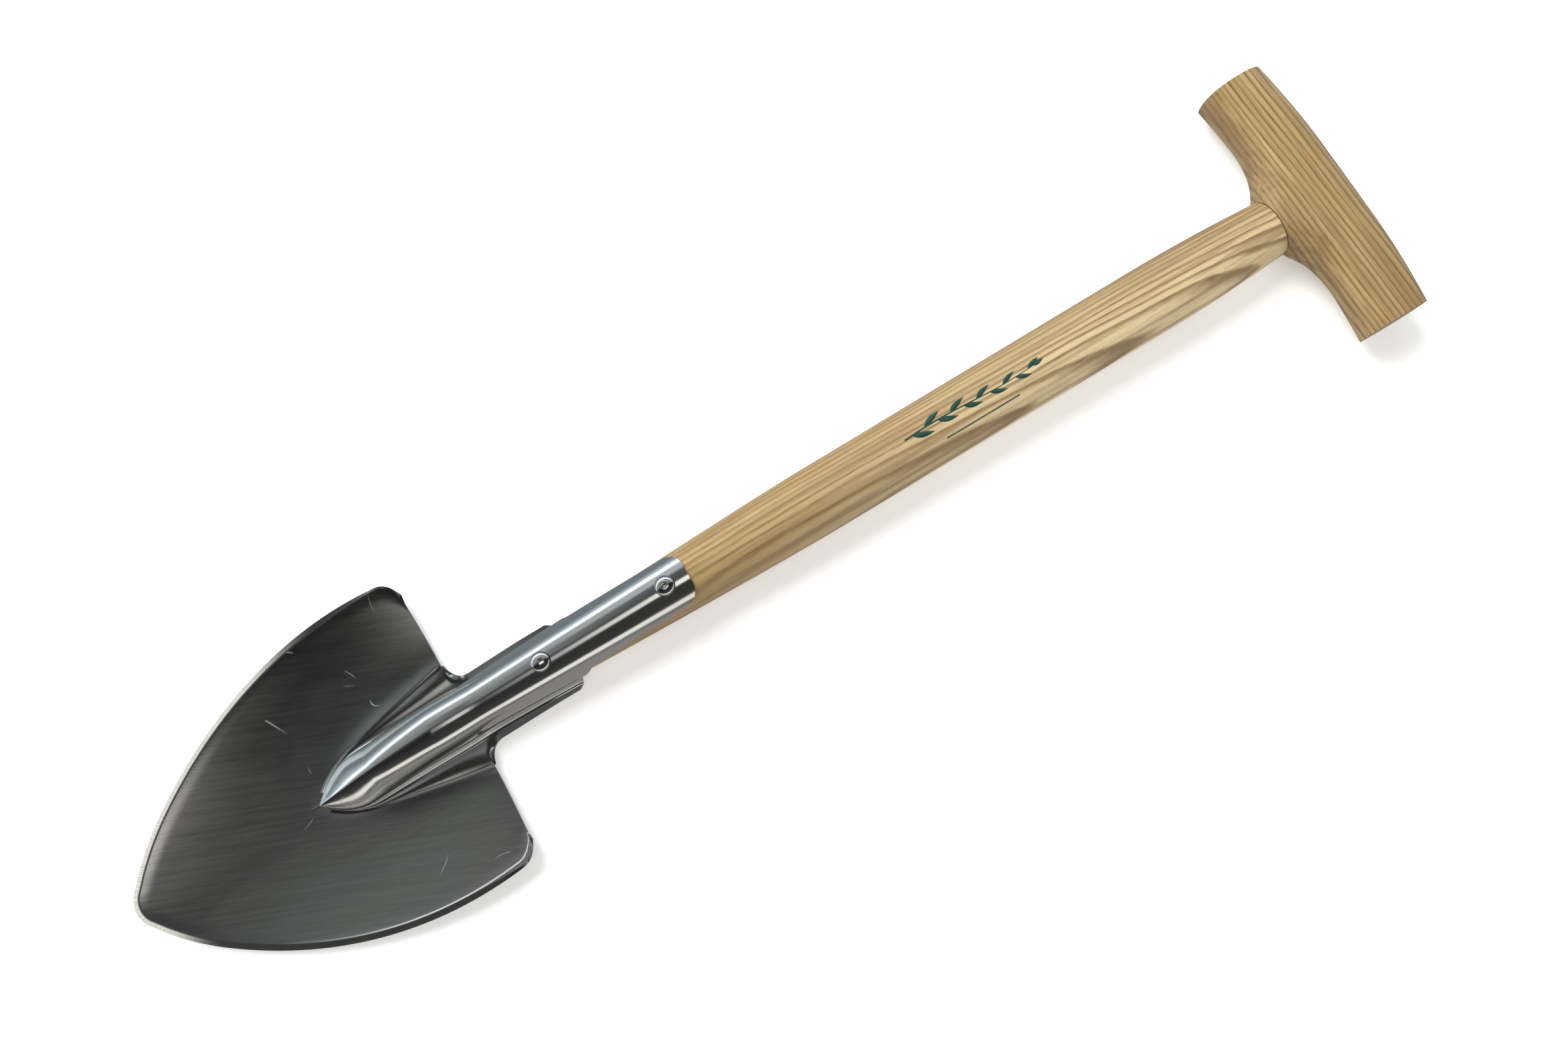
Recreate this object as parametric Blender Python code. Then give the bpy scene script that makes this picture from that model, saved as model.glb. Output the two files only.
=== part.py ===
"""A small garden spade: a pressed steel blade and socket, an ash shaft and a T-handle.

Lengths are in millimetres until place() turns them into metres. Along the tool, x
runs from the blade's tip (0) to the handle's crown; y is across it; z is measured
from the shaft's centre line, upwards on the digging side. The finished tool lies on
its back: the shaft's belly and the back of the blade touch z = 0.
"""
import math

import bmesh
import bpy
from mathutils import Vector

# ---- driving dimensions, in millimetres ---------------------------------------
OVERALL_LENGTH = 690.0      # blade tip to the handle's crown
SHAFT_BELLY_R = 17.0        # the shaft's largest radius, halfway up
SHEET = 1.5                 # thickness of the pressed steel
GAP = 0.3                   # clearance between parts that touch

# blade outline: shoulder line, rounded corner, long side arc, second arc, round tip
SHOULDER_X = 187.8
CORNER_R = 10.0
SIDE_R = 209.7
SIDE_CENTRE = (156.6, -130.1)
NOSE_ARC_START_X = 30.0
NOSE_ARC_R = 125.0
TIP_R = 15.7

# blade dish: heights of the front face below the shaft's centre line
DISH_LOW_X = 95.0
DISH_LOW_Z = -15.5
DISH_TIP_RISE = 9.5
DISH_SHOULDER_RISE = 3.5
DISH_SIDE_RISE = 8.0
HALF_WIDTH = 79.6
CURL_WIDTH = 9.0            # the last strip before the edge curls up a little
CURL_RISE = 0.9
BEVEL_WIDTH = 3.2           # ground bevel along the cutting edge
BEVEL_WIDTH_CORNER = 0.8
EDGE_THICKNESS = 0.5
THINNING_LENGTH = 14.0      # the edge thins from the shoulder over this length

# the hollow frog and the socket channel that grips the shaft
NOSE_X = 100.0
FROG_BLEND_X = 180.0       # the frog takes on the socket's own radius from here
FROG_BLEND_LENGTH = 20.0
FROG_LENGTH = 27.0          # where the frog has reached the socket's full width
CREST_LENGTH = 76.0         # where its crest has reached the socket's full height
NOSE_PEAK = 1.3             # 2 is a round section, 1 is a roof
SOCKET_R = 13.2
VALLEY_Z = -13.5            # front face at the foot of the frog, near the shoulders
FLANGE_Z = -8.5             # front face of the socket's side flanges
FLANGE_RISE_LENGTH = 45.0
VALLEY_SINK_LENGTH = 70.0   # the valley beside the frog sinks to its level over this length
CREASE_RISE = 0.9           # how far the crease stands above the dish
CREASE_FADE = 5.0
CREASE_START_X = 108.0
CREASE_GROWTH = 40.0
FLANGE_Y = 18.4
FOOT_R = 1.8                # inside fold between the socket's wall and its flange
VALLEY_START_X = 120.0
VALLEY_SLOPE = 0.205        # how fast the valley beside the frog widens
FLANGE_END_X = 249.5
FLANGE_CUT_BACK = 6.0       # the flanges' ends slant back towards the blade
STRAP_END_X = 320.0
STRAP_EASE = 9.0            # length over which the channel's wall rises to the strap
STRAP_HALF_START = 13.8     # half-width of the strap, seen from the front
STRAP_HALF_END = 12.8
STRAP_CORNER_R = 8.0

# shaft
SHAFT_END_X = 165.0         # its lower end, inside the frog
SHAFT_LOW_R = 11.0
SWELL_START_X = 200.0
SWELL_END_X = 390.0
NECK_TAPER_X = 575.0
JOINT_X = 646.8             # butt joint between the shaft and the T-handle
JOINT_R = 14.2
TENON_R = 9.0
TENON_LENGTH = 24.0

# T-handle
HANDLE_HALF_SPAN = 69.5
HANDLE_HALF_THICK = 15.5
HANDLE_CROWN_DROP = 4.0     # how far its outer edge falls at the ends
HANDLE_INNER_X = 655.7      # inner edge of the bar
HANDLE_INNER_DROP = 2.5
END_CHAMFER = 0.8

# rivets
RIVET_XS = (("lower", 238.5), ("upper", 307.8))
RIVET_SHANK_R = 2.4
RIVET_HEAD_R = 5.0
RIVET_HEAD_HEIGHT = 2.8
WASHER_R = 5.4
WASHER_THICK = 1.0
TAIL_R = 3.8
TAIL_HEIGHT = 1.1

# mesh density
FROG_ROWS = 22
SPOKE_CROWDING = 0.72       # crowds the blade's spokes towards its tip and its corners
CAP_STEPS, WALL_STEPS, FOOT_STEPS, VALLEY_STEPS = 8, 2, 2, 3
BLADE_RINGS = 8
ROUND_STEPS = 40
HANDLE_STEPS = 28


def place(x, y, z):
    """Millimetres along the tool to metres in the part's own frame."""
    return Vector((x - OVERALL_LENGTH / 2, y, z + SHAFT_BELLY_R)) / 1000.0


def smooth(t):
    """An S-curve from 0 to 1."""
    t = min(max(t, 0.0), 1.0)
    return t * t * (3.0 - 2.0 * t)


def mix(a, b, t):
    return a + (b - a) * t


# ---- shapes as formulas --------------------------------------------------------
def shaft_radius(x):
    swell = min(max((x - SWELL_START_X) / (SWELL_END_X - SWELL_START_X), 0.0), 1.0)
    radius = SHAFT_BELLY_R - (SHAFT_BELLY_R - SHAFT_LOW_R) * (1.0 - swell) ** 1.35
    neck = max(x - NECK_TAPER_X, 0.0) / (JOINT_X - NECK_TAPER_X)
    return radius - (SHAFT_BELLY_R - JOINT_R) * neck ** 2


def socket_radius(x):
    return shaft_radius(x) + GAP + SHEET


def dish_height(x, y):
    """Front face of the blade, before the frog is pressed into it."""
    if x < DISH_LOW_X:
        low = DISH_LOW_Z + DISH_TIP_RISE * ((DISH_LOW_X - x) / DISH_LOW_X) ** 2.2
    else:
        rise = smooth((x - DISH_LOW_X) / (SHOULDER_X - DISH_LOW_X))
        low = DISH_LOW_Z + DISH_SHOULDER_RISE * rise
    return low + DISH_SIDE_RISE * (abs(y) / HALF_WIDTH) ** 2.2


def frog_half_width(x):
    t = min(max((x - NOSE_X) / FROG_LENGTH, 0.0), 1.0)
    frog = SOCKET_R * (1.0 - (1.0 - t) ** 2)
    return mix(frog, socket_radius(x), smooth((x - FROG_BLEND_X) / FROG_BLEND_LENGTH))


def crease_half_width(x):
    """Outer edge of the valley that runs beside the frog."""
    return 1.1 * frog_half_width(x) + VALLEY_SLOPE * max(x - VALLEY_START_X, 0.0)


def fold_level(x):
    """Height of the fold at the foot of the frog and of the socket's walls."""
    level = mix(dish_height(x, 0.0), VALLEY_Z, smooth((x - NOSE_X) / VALLEY_SINK_LENGTH))
    return mix(level, FLANGE_Z, smooth((x - SHOULDER_X) / FLANGE_RISE_LENGTH))


def crease_lift(x, distance):
    """The crease's own height at a distance from it, growing from the nose to the shoulder."""
    return CREASE_RISE * smooth((x - CREASE_START_X) / CREASE_GROWTH) * math.exp(-distance / CREASE_FADE)


def arc_points(centre, radius, start, end, count):
    """Points on an arc from angle start to angle end, both in radians, ends included."""
    points = []
    for k in range(count + 1):
        angle = mix(start, end, k / count)
        points.append((centre[0] + radius * math.cos(angle), centre[1] + radius * math.sin(angle)))
    return points


def angle_from(centre, point):
    return math.atan2(point[1] - centre[1], point[0] - centre[0])


def blade_outline():
    """Half of the blade's outline, from the shoulder line round to the tip.

    Four arcs, each tangent to the next: corner, side, nose and tip.
    """
    side_x, side_y = SIDE_CENTRE
    corner_x = SHOULDER_X - CORNER_R
    corner_y = side_y + math.sqrt((SIDE_R - CORNER_R) ** 2 - (corner_x - side_x) ** 2)
    corner = (corner_x, corner_y)
    join_corner = angle_from(SIDE_CENTRE, corner)
    join_nose = math.pi - math.acos((side_x - NOSE_ARC_START_X) / SIDE_R)
    shift = SIDE_R - NOSE_ARC_R
    nose = (side_x + shift * math.cos(join_nose), side_y + shift * math.sin(join_nose))
    tip = (TIP_R, 0.0)
    join_tip = angle_from(nose, tip)
    points = arc_points(corner, CORNER_R, 0.0, join_corner, 12)
    points += arc_points(SIDE_CENTRE, SIDE_R, join_corner, join_nose, 48)[1:]
    points += arc_points(nose, NOSE_ARC_R, join_nose, join_tip, 16)[1:]
    points += arc_points(tip, TIP_R, join_tip, math.pi, 12)[1:]
    return points


def along(points, fraction):
    """The point and the direction at a fraction of an outline's length."""
    lengths = [0.0]
    for a, b in zip(points, points[1:]):
        lengths.append(lengths[-1] + math.dist(a, b))
    target = fraction * lengths[-1]
    k = 0
    while k < len(points) - 2 and lengths[k + 1] < target:
        k += 1
    a, b = points[k], points[k + 1]
    t = (target - lengths[k]) / (lengths[k + 1] - lengths[k])
    step = math.dist(a, b)
    direction = ((b[0] - a[0]) / step, (b[1] - a[1]) / step)
    return (mix(a[0], b[0], t), mix(a[1], b[1], t)), direction


# ---- the socket: rows across the tool, columns from the crest outwards -----------
def frog_section(x):
    """Crest-to-fold points (y, z) of a row through the frog."""
    half = frog_half_width(x)
    rise = min(max((x - NOSE_X) / CREST_LENGTH, 0.0), 1.0)
    level = fold_level(x)
    crest = mix(level, SOCKET_R, 1.0 - (1.0 - rise) ** 1.45)
    crest = mix(crest, socket_radius(x), smooth((x - FROG_BLEND_X) / FROG_BLEND_LENGTH))
    height = crest - level
    cap = min(half, 0.8 * height)
    fold = min(FOOT_R, height - cap, 0.5 * (crease_half_width(x) - half))
    peak = 2.0 / mix(NOSE_PEAK, 2.0, smooth(rise))
    points = []
    for k in range(CAP_STEPS + 1):
        angle = math.pi / 2 * k / CAP_STEPS
        across = half * math.sin(angle) ** peak
        points.append((across, crest - cap + cap * math.cos(angle)))
    for k in range(1, WALL_STEPS + 1):
        points.append((half, mix(crest - cap, level + fold, k / WALL_STEPS)))
    for k in range(1, FOOT_STEPS + 1):
        angle = math.pi / 2 * k / FOOT_STEPS
        points.append((half + fold * (1.0 - math.cos(angle)), level + fold * (1.0 - math.sin(angle))))
    return points


def valley(fold_end, edge):
    """Points from the fold out to a row's outer edge, rising ever more steeply."""
    points = []
    for k in range(1, VALLEY_STEPS + 1):
        t = k / VALLEY_STEPS
        lift = (edge[2] - fold_end[2]) * (t ** 2.4 - t)
        points.append(fold_end.lerp(edge, t) + Vector((0.0, 0.0, lift)))
    return points


def socket_row(x, edge):
    """Half a row: from the crest down the wall, then out to the given edge point."""
    points = [Vector((x, y, z)) for y, z in frog_section(x)]
    return points + valley(points[-1], edge)


def shoulder_fillet():
    """Radius of the quarter round from the crease's end to the flange's edge."""
    return crease_half_width(SHOULDER_X) - FLANGE_Y


def fillet_edge(t):
    """The shoulder's inner edge: t goes from 0 at the crease's end to 1 at the flange."""
    start_y = crease_half_width(SHOULDER_X)
    angle = math.pi * (1.0 + t / 2)
    x = SHOULDER_X + shoulder_fillet() * (1.0 + math.cos(angle))
    y = start_y + shoulder_fillet() * math.sin(angle)
    height = dish_height(SHOULDER_X, start_y) + crease_lift(SHOULDER_X, 0.0)
    return Vector((x, y, mix(height, fold_level(x), smooth(t))))


def channel_point(x, distance):
    """A point of the open channel's section, at a distance along it from the crest."""
    radius = socket_radius(x)
    quarter = radius * math.pi / 2
    wall = -fold_level(x) - FOOT_R
    if distance <= quarter:
        angle = distance / radius
        return Vector((x, radius * math.sin(angle), radius * math.cos(angle)))
    distance -= quarter
    if distance <= wall:
        return Vector((x, radius, -distance))
    angle = min((distance - wall) / FOOT_R, math.pi / 2)
    run = max(distance - wall - FOOT_R * math.pi / 2, 0.0)
    return Vector((x, radius + FOOT_R * (1.0 - math.cos(angle)) + run, -wall - FOOT_R * math.sin(angle)))


def channel_stations(x):
    """Distances of the columns along the channel's section."""
    radius = socket_radius(x)
    quarter = radius * math.pi / 2
    wall = -fold_level(x) - FOOT_R
    fold = FOOT_R * math.pi / 2
    flange = FLANGE_Y - radius - FOOT_R
    stations = [quarter * k / CAP_STEPS for k in range(CAP_STEPS + 1)]
    stations += [quarter + wall * k / WALL_STEPS for k in range(1, WALL_STEPS + 1)]
    stations += [quarter + wall + fold * k / FOOT_STEPS for k in range(1, FOOT_STEPS + 1)]
    stations += [quarter + wall + fold + flange * k / VALLEY_STEPS for k in range(1, VALLEY_STEPS + 1)]
    return stations


def strap_half_width(x):
    half = mix(STRAP_HALF_START, STRAP_HALF_END, (x - FLANGE_END_X) / (STRAP_END_X - FLANGE_END_X))
    into_corner = max(x - (STRAP_END_X - STRAP_CORNER_R), 0.0)
    return half - STRAP_CORNER_R + math.sqrt(STRAP_CORNER_R ** 2 - into_corner ** 2)


def channel_row(x):
    """Half a row of the open channel; the last one is cut back towards the flange's edge."""
    points = [channel_point(x, s) for s in channel_stations(x)]
    if x == FLANGE_END_X:
        beyond = len(points) - 1 - CAP_STEPS
        for k in range(1, beyond + 1):
            points[CAP_STEPS + k].x -= FLANGE_CUT_BACK * k / beyond
    return points


def strap_row(x):
    """Half a row of the strap: an arc over the front of the shaft."""
    radius = socket_radius(x)
    reach = math.asin(strap_half_width(x) / radius)
    reach = mix(math.pi / 2, reach, smooth((x - FLANGE_END_X) / STRAP_EASE))
    return [channel_point(x, radius * reach * k / CAP_STEPS) for k in range(CAP_STEPS + 1)]


def socket_rows():
    """All half rows, from the frog's nose to the end of the strap."""
    rows = []
    for k in range(1, FROG_ROWS + 1):
        x = NOSE_X + (SHOULDER_X - NOSE_X) * (k / FROG_ROWS) ** 1.3
        half = crease_half_width(x)
        height = dish_height(x, half) + crease_lift(x, 0.0)
        rows.append(socket_row(x, Vector((x, half, height))))
    fillet_end_x = SHOULDER_X + shoulder_fillet()
    for k in range(1, 6):
        rows.append(socket_row(mix(SHOULDER_X, fillet_end_x, k / 5), fillet_edge(k / 5)))
    for k in range(1, 5):
        rows.append(channel_row(mix(fillet_end_x, FLANGE_END_X, k / 4)))
    corner_x = STRAP_END_X - STRAP_CORNER_R
    for k in range(1, 9):
        rows.append(strap_row(mix(FLANGE_END_X, corner_x, (k / 8) ** 1.3)))
    for k in range(1, 6):
        rows.append(strap_row(corner_x + STRAP_CORNER_R * math.sin(math.pi / 2 * k / 5)))
    return rows


# ---- the blade: spokes from the frog's crease out to the cutting edge ------------
def blade_spoke(inner, fraction, outline):
    """Points of the front face from a crease point to the outline, the edge last."""
    (edge_x, edge_y), (dir_x, dir_y) = along(outline, fraction)
    edge = Vector((edge_x, edge_y, 0.0))
    start = Vector((inner.x, inner.y, 0.0))
    inward = Vector((-dir_y, dir_x, 0.0))
    towards_start = (start - edge).normalized()
    inward = towards_start.lerp(inward, smooth(fraction / 0.1)).normalized()
    bevel = mix(BEVEL_WIDTH_CORNER, BEVEL_WIDTH, smooth(fraction / 0.25))
    arris = edge + inward * bevel
    inward = inward.lerp(towards_start, smooth((fraction - 0.7) / 0.25)).normalized()
    reach = (arris - start).length / 3.0
    handles = (start, start - towards_start * reach, arris + inward * reach, arris)
    points = []
    for k in range(1, BLADE_RINGS + 1):
        t = 1.0 - (1.0 - k / BLADE_RINGS) ** 1.25
        weights = ((1 - t) ** 3, 3 * t * (1 - t) ** 2, 3 * t * t * (1 - t), t ** 3)
        spot = sum((h * w for h, w in zip(handles, weights)), Vector())
        point = raised(spot, edge)
        point.z += crease_lift(start.x, (spot - start).length)
        points.append(point)
    points.append(raised(edge, edge))
    return points


def raised(spot, edge):
    """Lift a flat point onto the dished face, with the curl beside the edge."""
    curl = max(1.0 - (spot - edge).length / CURL_WIDTH, 0.0)
    return Vector((spot.x, spot.y, dish_height(spot.x, spot.y) + CURL_RISE * curl * curl))


def mirrored(point):
    return Vector((point.x, -point.y, point.z))


def add_vertex(mesh, point):
    return mesh.verts.new(point)


def full_row(mesh, half):
    """Vertices of a whole row, from its right edge over the crest to its left edge."""
    right = [add_vertex(mesh, mirrored(p)) for p in reversed(half[1:])]
    return right + [add_vertex(mesh, p) for p in half]


def front_face(mesh):
    """The front of the sheet; returns the vertices that lie on the cutting edge."""
    nose = add_vertex(mesh, Vector((NOSE_X, 0.0, dish_height(NOSE_X, 0.0))))
    rows = [full_row(mesh, half) for half in socket_rows()]
    for a, b in zip(rows[0], rows[0][1:]):
        mesh.faces.new((nose, a, b))
    for row, following in zip(rows, rows[1:]):
        spare = (len(row) - len(following)) // 2
        for k in range(len(following) - 1):
            mesh.faces.new((row[k + spare + 1], row[k + spare], following[k], following[k + 1]))

    outline = blade_outline()
    tip_points = blade_spoke(nose.co, 1.0, outline)
    tip_spoke = [nose] + [add_vertex(mesh, Vector((p.x, 0.0, p.z))) for p in tip_points]
    edge = [tip_spoke[-1]]
    for side in (0, -1):
        previous = tip_spoke
        for k in range(FROG_ROWS):
            crease = rows[k][side]
            inner = Vector((crease.co.x, abs(crease.co.y), crease.co.z))
            t = (k + 1) / FROG_ROWS
            warped = t - SPOKE_CROWDING * math.sin(2 * math.pi * t) / (2 * math.pi)
            points = blade_spoke(inner, 1.0 - warped, outline)
            if side == 0:
                points = [mirrored(p) for p in points]
            spoke = [crease] + [add_vertex(mesh, p) for p in points]
            for n in range(len(spoke) - 1):
                corners = (previous[n], previous[n + 1], spoke[n + 1], spoke[n])
                mesh.faces.new(corners if side == 0 else reversed(corners))
            edge.append(spoke[-1])
            previous = spoke
    return edge


def close_sheet(mesh, edge):
    """Give the front face its thickness, thinner along the ground cutting edge."""
    mesh.normal_update()
    front = list(mesh.verts)
    faces = list(mesh.faces)
    borders = [e for e in mesh.edges if e.is_boundary]
    upright = Vector((0.0, 0.0, 1.0))
    back = {}
    for vertex in front:
        nose_distance = math.hypot(vertex.co.x - NOSE_X, vertex.co.y)
        normal = upright.lerp(vertex.normal, smooth(nose_distance / 14.0)).normalized()
        if vertex.is_boundary and vertex.co.x < FLANGE_END_X - 2 * FLANGE_CUT_BACK:
            normal = upright
        back[vertex] = add_vertex(mesh, vertex.co - normal * SHEET)
    for face in faces:
        mesh.faces.new([back[v] for v in reversed(face.verts)])
    for border in borders:
        face = border.link_faces[0]
        corners = [loop.vert for loop in face.loops]
        a, b = border.verts
        if corners[(corners.index(a) + 1) % len(corners)] is not b:
            a, b = b, a
        mesh.faces.new((b, a, back[a], back[b]))
    for vertex in edge:
        thinned = (1.0 - EDGE_THICKNESS / SHEET) * smooth((SHOULDER_X - vertex.co.x) / THINNING_LENGTH)
        vertex.co = vertex.co.lerp(back[vertex].co, thinned)


# ---- objects and materials --------------------------------------------------------
def material(name, colour, roughness, metallic):
    made = bpy.data.materials.new(name)
    made.use_nodes = True
    shader = made.node_tree.nodes["Principled BSDF"]
    shader.inputs["Base Color"].default_value = (*colour, 1.0)
    shader.inputs["Roughness"].default_value = roughness
    shader.inputs["Metallic"].default_value = metallic
    return made


def finish_object(name, mesh, surface, sharp_degrees=35.0):
    """Turn millimetre geometry into a named object in the part's frame."""
    for vertex in mesh.verts:
        vertex.co = place(*vertex.co)
    bmesh.ops.recalc_face_normals(mesh, faces=mesh.faces)
    data = bpy.data.meshes.new(name)
    mesh.to_mesh(data)
    mesh.free()
    data.shade_smooth()
    data.set_sharp_from_angle(angle=math.radians(sharp_degrees))
    data.materials.append(surface)
    made = bpy.data.objects.new(name, data)
    bpy.context.collection.objects.link(made)
    return made


def turned(profile, axis_x=None):
    """Closed turned solid: (x, r) along the tool, or (z, r) upright at axis_x."""
    mesh = bmesh.new()
    rings = []
    for along_axis, radius in profile:
        ring = []
        for k in range(ROUND_STEPS if radius > 0 else 1):
            angle = 2 * math.pi * (k if axis_x is None else k + 0.5) / ROUND_STEPS
            across, up = radius * math.cos(angle), radius * math.sin(angle)
            if axis_x is None:
                spot = (along_axis, across, up)
            else:
                spot = (axis_x + across, up, along_axis)
            ring.append(mesh.verts.new(spot))
        rings.append(ring)
    for ring, following in zip(rings, rings[1:]):
        count = max(len(ring), len(following))
        for k in range(count):
            corners = [ring[k % len(ring)], ring[(k + 1) % len(ring)]]
            corners += [following[(k + 1) % len(following)], following[k % len(following)]]
            mesh.faces.new(list(dict.fromkeys(corners)))
    return mesh


def cut(target, name, profile, axis_x=None):
    """Cut a turned shape out of an object."""
    cutter = finish_object(name, turned(profile, axis_x), target.data.materials[0])
    cutter.hide_render = True
    cutter.display_type = "WIRE"
    modifier = target.modifiers.new(name, "BOOLEAN")
    modifier.operation = "DIFFERENCE"
    modifier.object = cutter


def plain_cylinder(low, high, radius):
    return [(low, 0.0), (low, radius), (high, radius), (high, 0.0)]


def washer_seat(x):
    """Height of the flat seat on the shaft's back, under a rivet's washer."""
    return -math.sqrt(shaft_radius(x) ** 2 - (WASHER_R + GAP) ** 2)


def build_blade_and_socket(steel):
    mesh = bmesh.new()
    close_sheet(mesh, front_face(mesh))
    blade = finish_object("blade_and_socket", mesh, steel)
    for place_name, x in RIVET_XS:
        hole = plain_cylinder(0.0, 30.0, RIVET_SHANK_R + GAP)
        cut(blade, "strap_hole_" + place_name, hole, x)


def build_shaft(ash):
    end_r = SHAFT_LOW_R - 2.0
    profile = [(SHAFT_END_X, 0.0), (SHAFT_END_X, end_r - 1.5), (SHAFT_END_X + 1.5, end_r)]
    profile += [(SHAFT_END_X + 22.0, SHAFT_LOW_R)]
    steps = 26
    for k in range(steps + 1):
        x = mix(SWELL_START_X, JOINT_X, k / steps)
        profile.append((x, shaft_radius(x)))
    tenon_end = JOINT_X + TENON_LENGTH
    profile += [(JOINT_X, TENON_R), (tenon_end - 1.0, TENON_R), (tenon_end, TENON_R - 1.0), (tenon_end, 0.0)]
    shaft = finish_object("shaft", turned(profile), ash)
    for place_name, x in RIVET_XS:
        seat, hole_r, seat_r = washer_seat(x), RIVET_SHANK_R + GAP, WASHER_R + GAP
        hole = [(-30.0, 0.0), (-30.0, seat_r), (seat, seat_r), (seat, hole_r), (30.0, hole_r), (30.0, 0.0)]
        cut(shaft, "rivet_hole_" + place_name, hole, x)


def handle_section(y):
    """A section across the T-handle's bar, from the neck's top round to its underside."""
    reach = abs(y) / HANDLE_HALF_SPAN
    outer = OVERALL_LENGTH - HANDLE_CROWN_DROP * reach ** 2.3
    flare = max(abs(y) - JOINT_R, 0.0)
    inner = JOINT_X + GAP + (HANDLE_INNER_X - JOINT_X) * (1.0 - math.exp(-((flare / 10.0) ** 1.25)))
    inner -= HANDLE_INNER_DROP * max((abs(y) - 40.0) / (HANDLE_HALF_SPAN - 40.0), 0.0) ** 1.3
    neck = math.sqrt(max(JOINT_R ** 2 - y * y, 0.0))
    power = 2.3
    inset = END_CHAMFER if abs(y) == HANDLE_HALF_SPAN else 0.0
    middle, half = (outer + inner) / 2, (outer - inner) / 2 - inset
    steps = HANDLE_STEPS
    points = []
    for k in range(steps + 1):
        angle = math.pi - 2 * math.pi * k / steps
        away = math.copysign(abs(math.cos(angle)) ** (2 / power), math.cos(angle))
        height = (HANDLE_HALF_THICK - inset) ** power * (1.0 - abs(away) ** power)
        if away < 0:
            height += (neck * abs(away)) ** power
        side = 1.0 if k < steps / 2 else -1.0
        points.append((middle + half * away, y, side * max(height, 0.0) ** (1 / power)))
    return points


def build_t_handle(ash):
    """The handle is lofted from end to end; its neck is cut flat to meet the shaft."""
    mesh = bmesh.new()
    stations = [HANDLE_HALF_SPAN, HANDLE_HALF_SPAN - END_CHAMFER, 62.0, 54.0, 47.0, 40.0]
    stations += [34.0, 29.0, 25.0, 21.5, 18.5, 16.2, JOINT_R]
    stations += [JOINT_R * math.cos(math.pi / 2 * k / 7) for k in range(1, 7)]
    stations = stations + [0.0] + [-y for y in reversed(stations)]
    loops = []
    for y in stations:
        points = handle_section(y)
        verts = [mesh.verts.new(p) for p in points[:-1]]
        closed = abs(y) >= JOINT_R
        loops.append(verts + [verts[0] if closed else mesh.verts.new(points[-1])])
    for loop, following in zip(loops, loops[1:]):
        for k in range(len(loop) - 1):
            corners = (loop[k], loop[k + 1], following[k + 1], following[k])
            mesh.faces.new(list(dict.fromkeys(corners)))
    for loop in (loops[0], loops[-1]):
        mesh.faces.new(loop[:-1])
    open_loops = [loop for loop in loops if loop[0] is not loop[-1]]
    top = [loop[0] for loop in open_loops]
    bottom = [loop[-1] for loop in reversed(open_loops)]
    ends = [loop[0] for loop, y in zip(loops, stations) if abs(abs(y) - JOINT_R) < 1e-6]
    mesh.faces.new([ends[0]] + top + [ends[1]] + bottom)
    handle = finish_object("t_handle", mesh, ash)
    mortise_end = JOINT_X + TENON_LENGTH + GAP
    cut(handle, "mortise", plain_cylinder(JOINT_X - 5.0, mortise_end, TENON_R + GAP))


def build_rivets(steel):
    for place_name, x in RIVET_XS:
        seat = socket_radius(x) + GAP
        head = []
        for k in range(7):
            angle = math.pi / 2 * k / 6
            head.append((seat + RIVET_HEAD_HEIGHT * math.sin(angle), RIVET_HEAD_R * math.cos(angle)))
        head[-1] = (seat + RIVET_HEAD_HEIGHT, 0.0)
        washer_top = washer_seat(x) - GAP
        washer_bottom = washer_top - WASHER_THICK
        tail_top = washer_bottom - GAP
        tail = tail_top - TAIL_HEIGHT
        profile = [(tail, 0.0), (tail, TAIL_R - 1.2), (tail + 0.5, TAIL_R - 0.3), (tail_top, TAIL_R)]
        profile += [(tail_top, RIVET_SHANK_R), (seat, RIVET_SHANK_R)] + head
        finish_object("rivet_" + place_name, turned(profile, x), steel)
        ring = [(washer_bottom, RIVET_SHANK_R + GAP), (washer_bottom, WASHER_R)]
        ring += [(washer_top, WASHER_R), (washer_top, RIVET_SHANK_R + GAP), ring[0]]
        finish_object("rivet_washer_" + place_name, turned_ring(ring, x), steel)


def turned_ring(profile, axis_x):
    """A turned solid with a hole: its profile is a closed outline off the axis."""
    mesh = turned(profile, axis_x)
    bmesh.ops.remove_doubles(mesh, verts=mesh.verts, dist=0.001)
    return mesh


def build():
    for existing in list(bpy.data.objects):
        bpy.data.objects.remove(existing, do_unlink=True)
    stainless = material("stainless_steel", (0.30, 0.31, 0.30), 0.30, 1.0)
    polished = material("polished_steel", (0.62, 0.63, 0.63), 0.16, 1.0)
    ash = material("ash_wood", (0.56, 0.38, 0.19), 0.45, 0.0)
    build_blade_and_socket(stainless)
    build_shaft(ash)
    build_t_handle(ash)
    build_rivets(polished)


build()
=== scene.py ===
"""Looks of the garden spade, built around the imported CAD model.

Lengths are in millimetres until place() turns them into metres. Along the tool, x
runs from the blade's tip (0) to the handle's crown; y is across it; z is measured
from the shaft's centre line. Every piece stands for the CAD node of the same part,
with the same dimensions and a finer surface.
"""

import math

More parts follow.
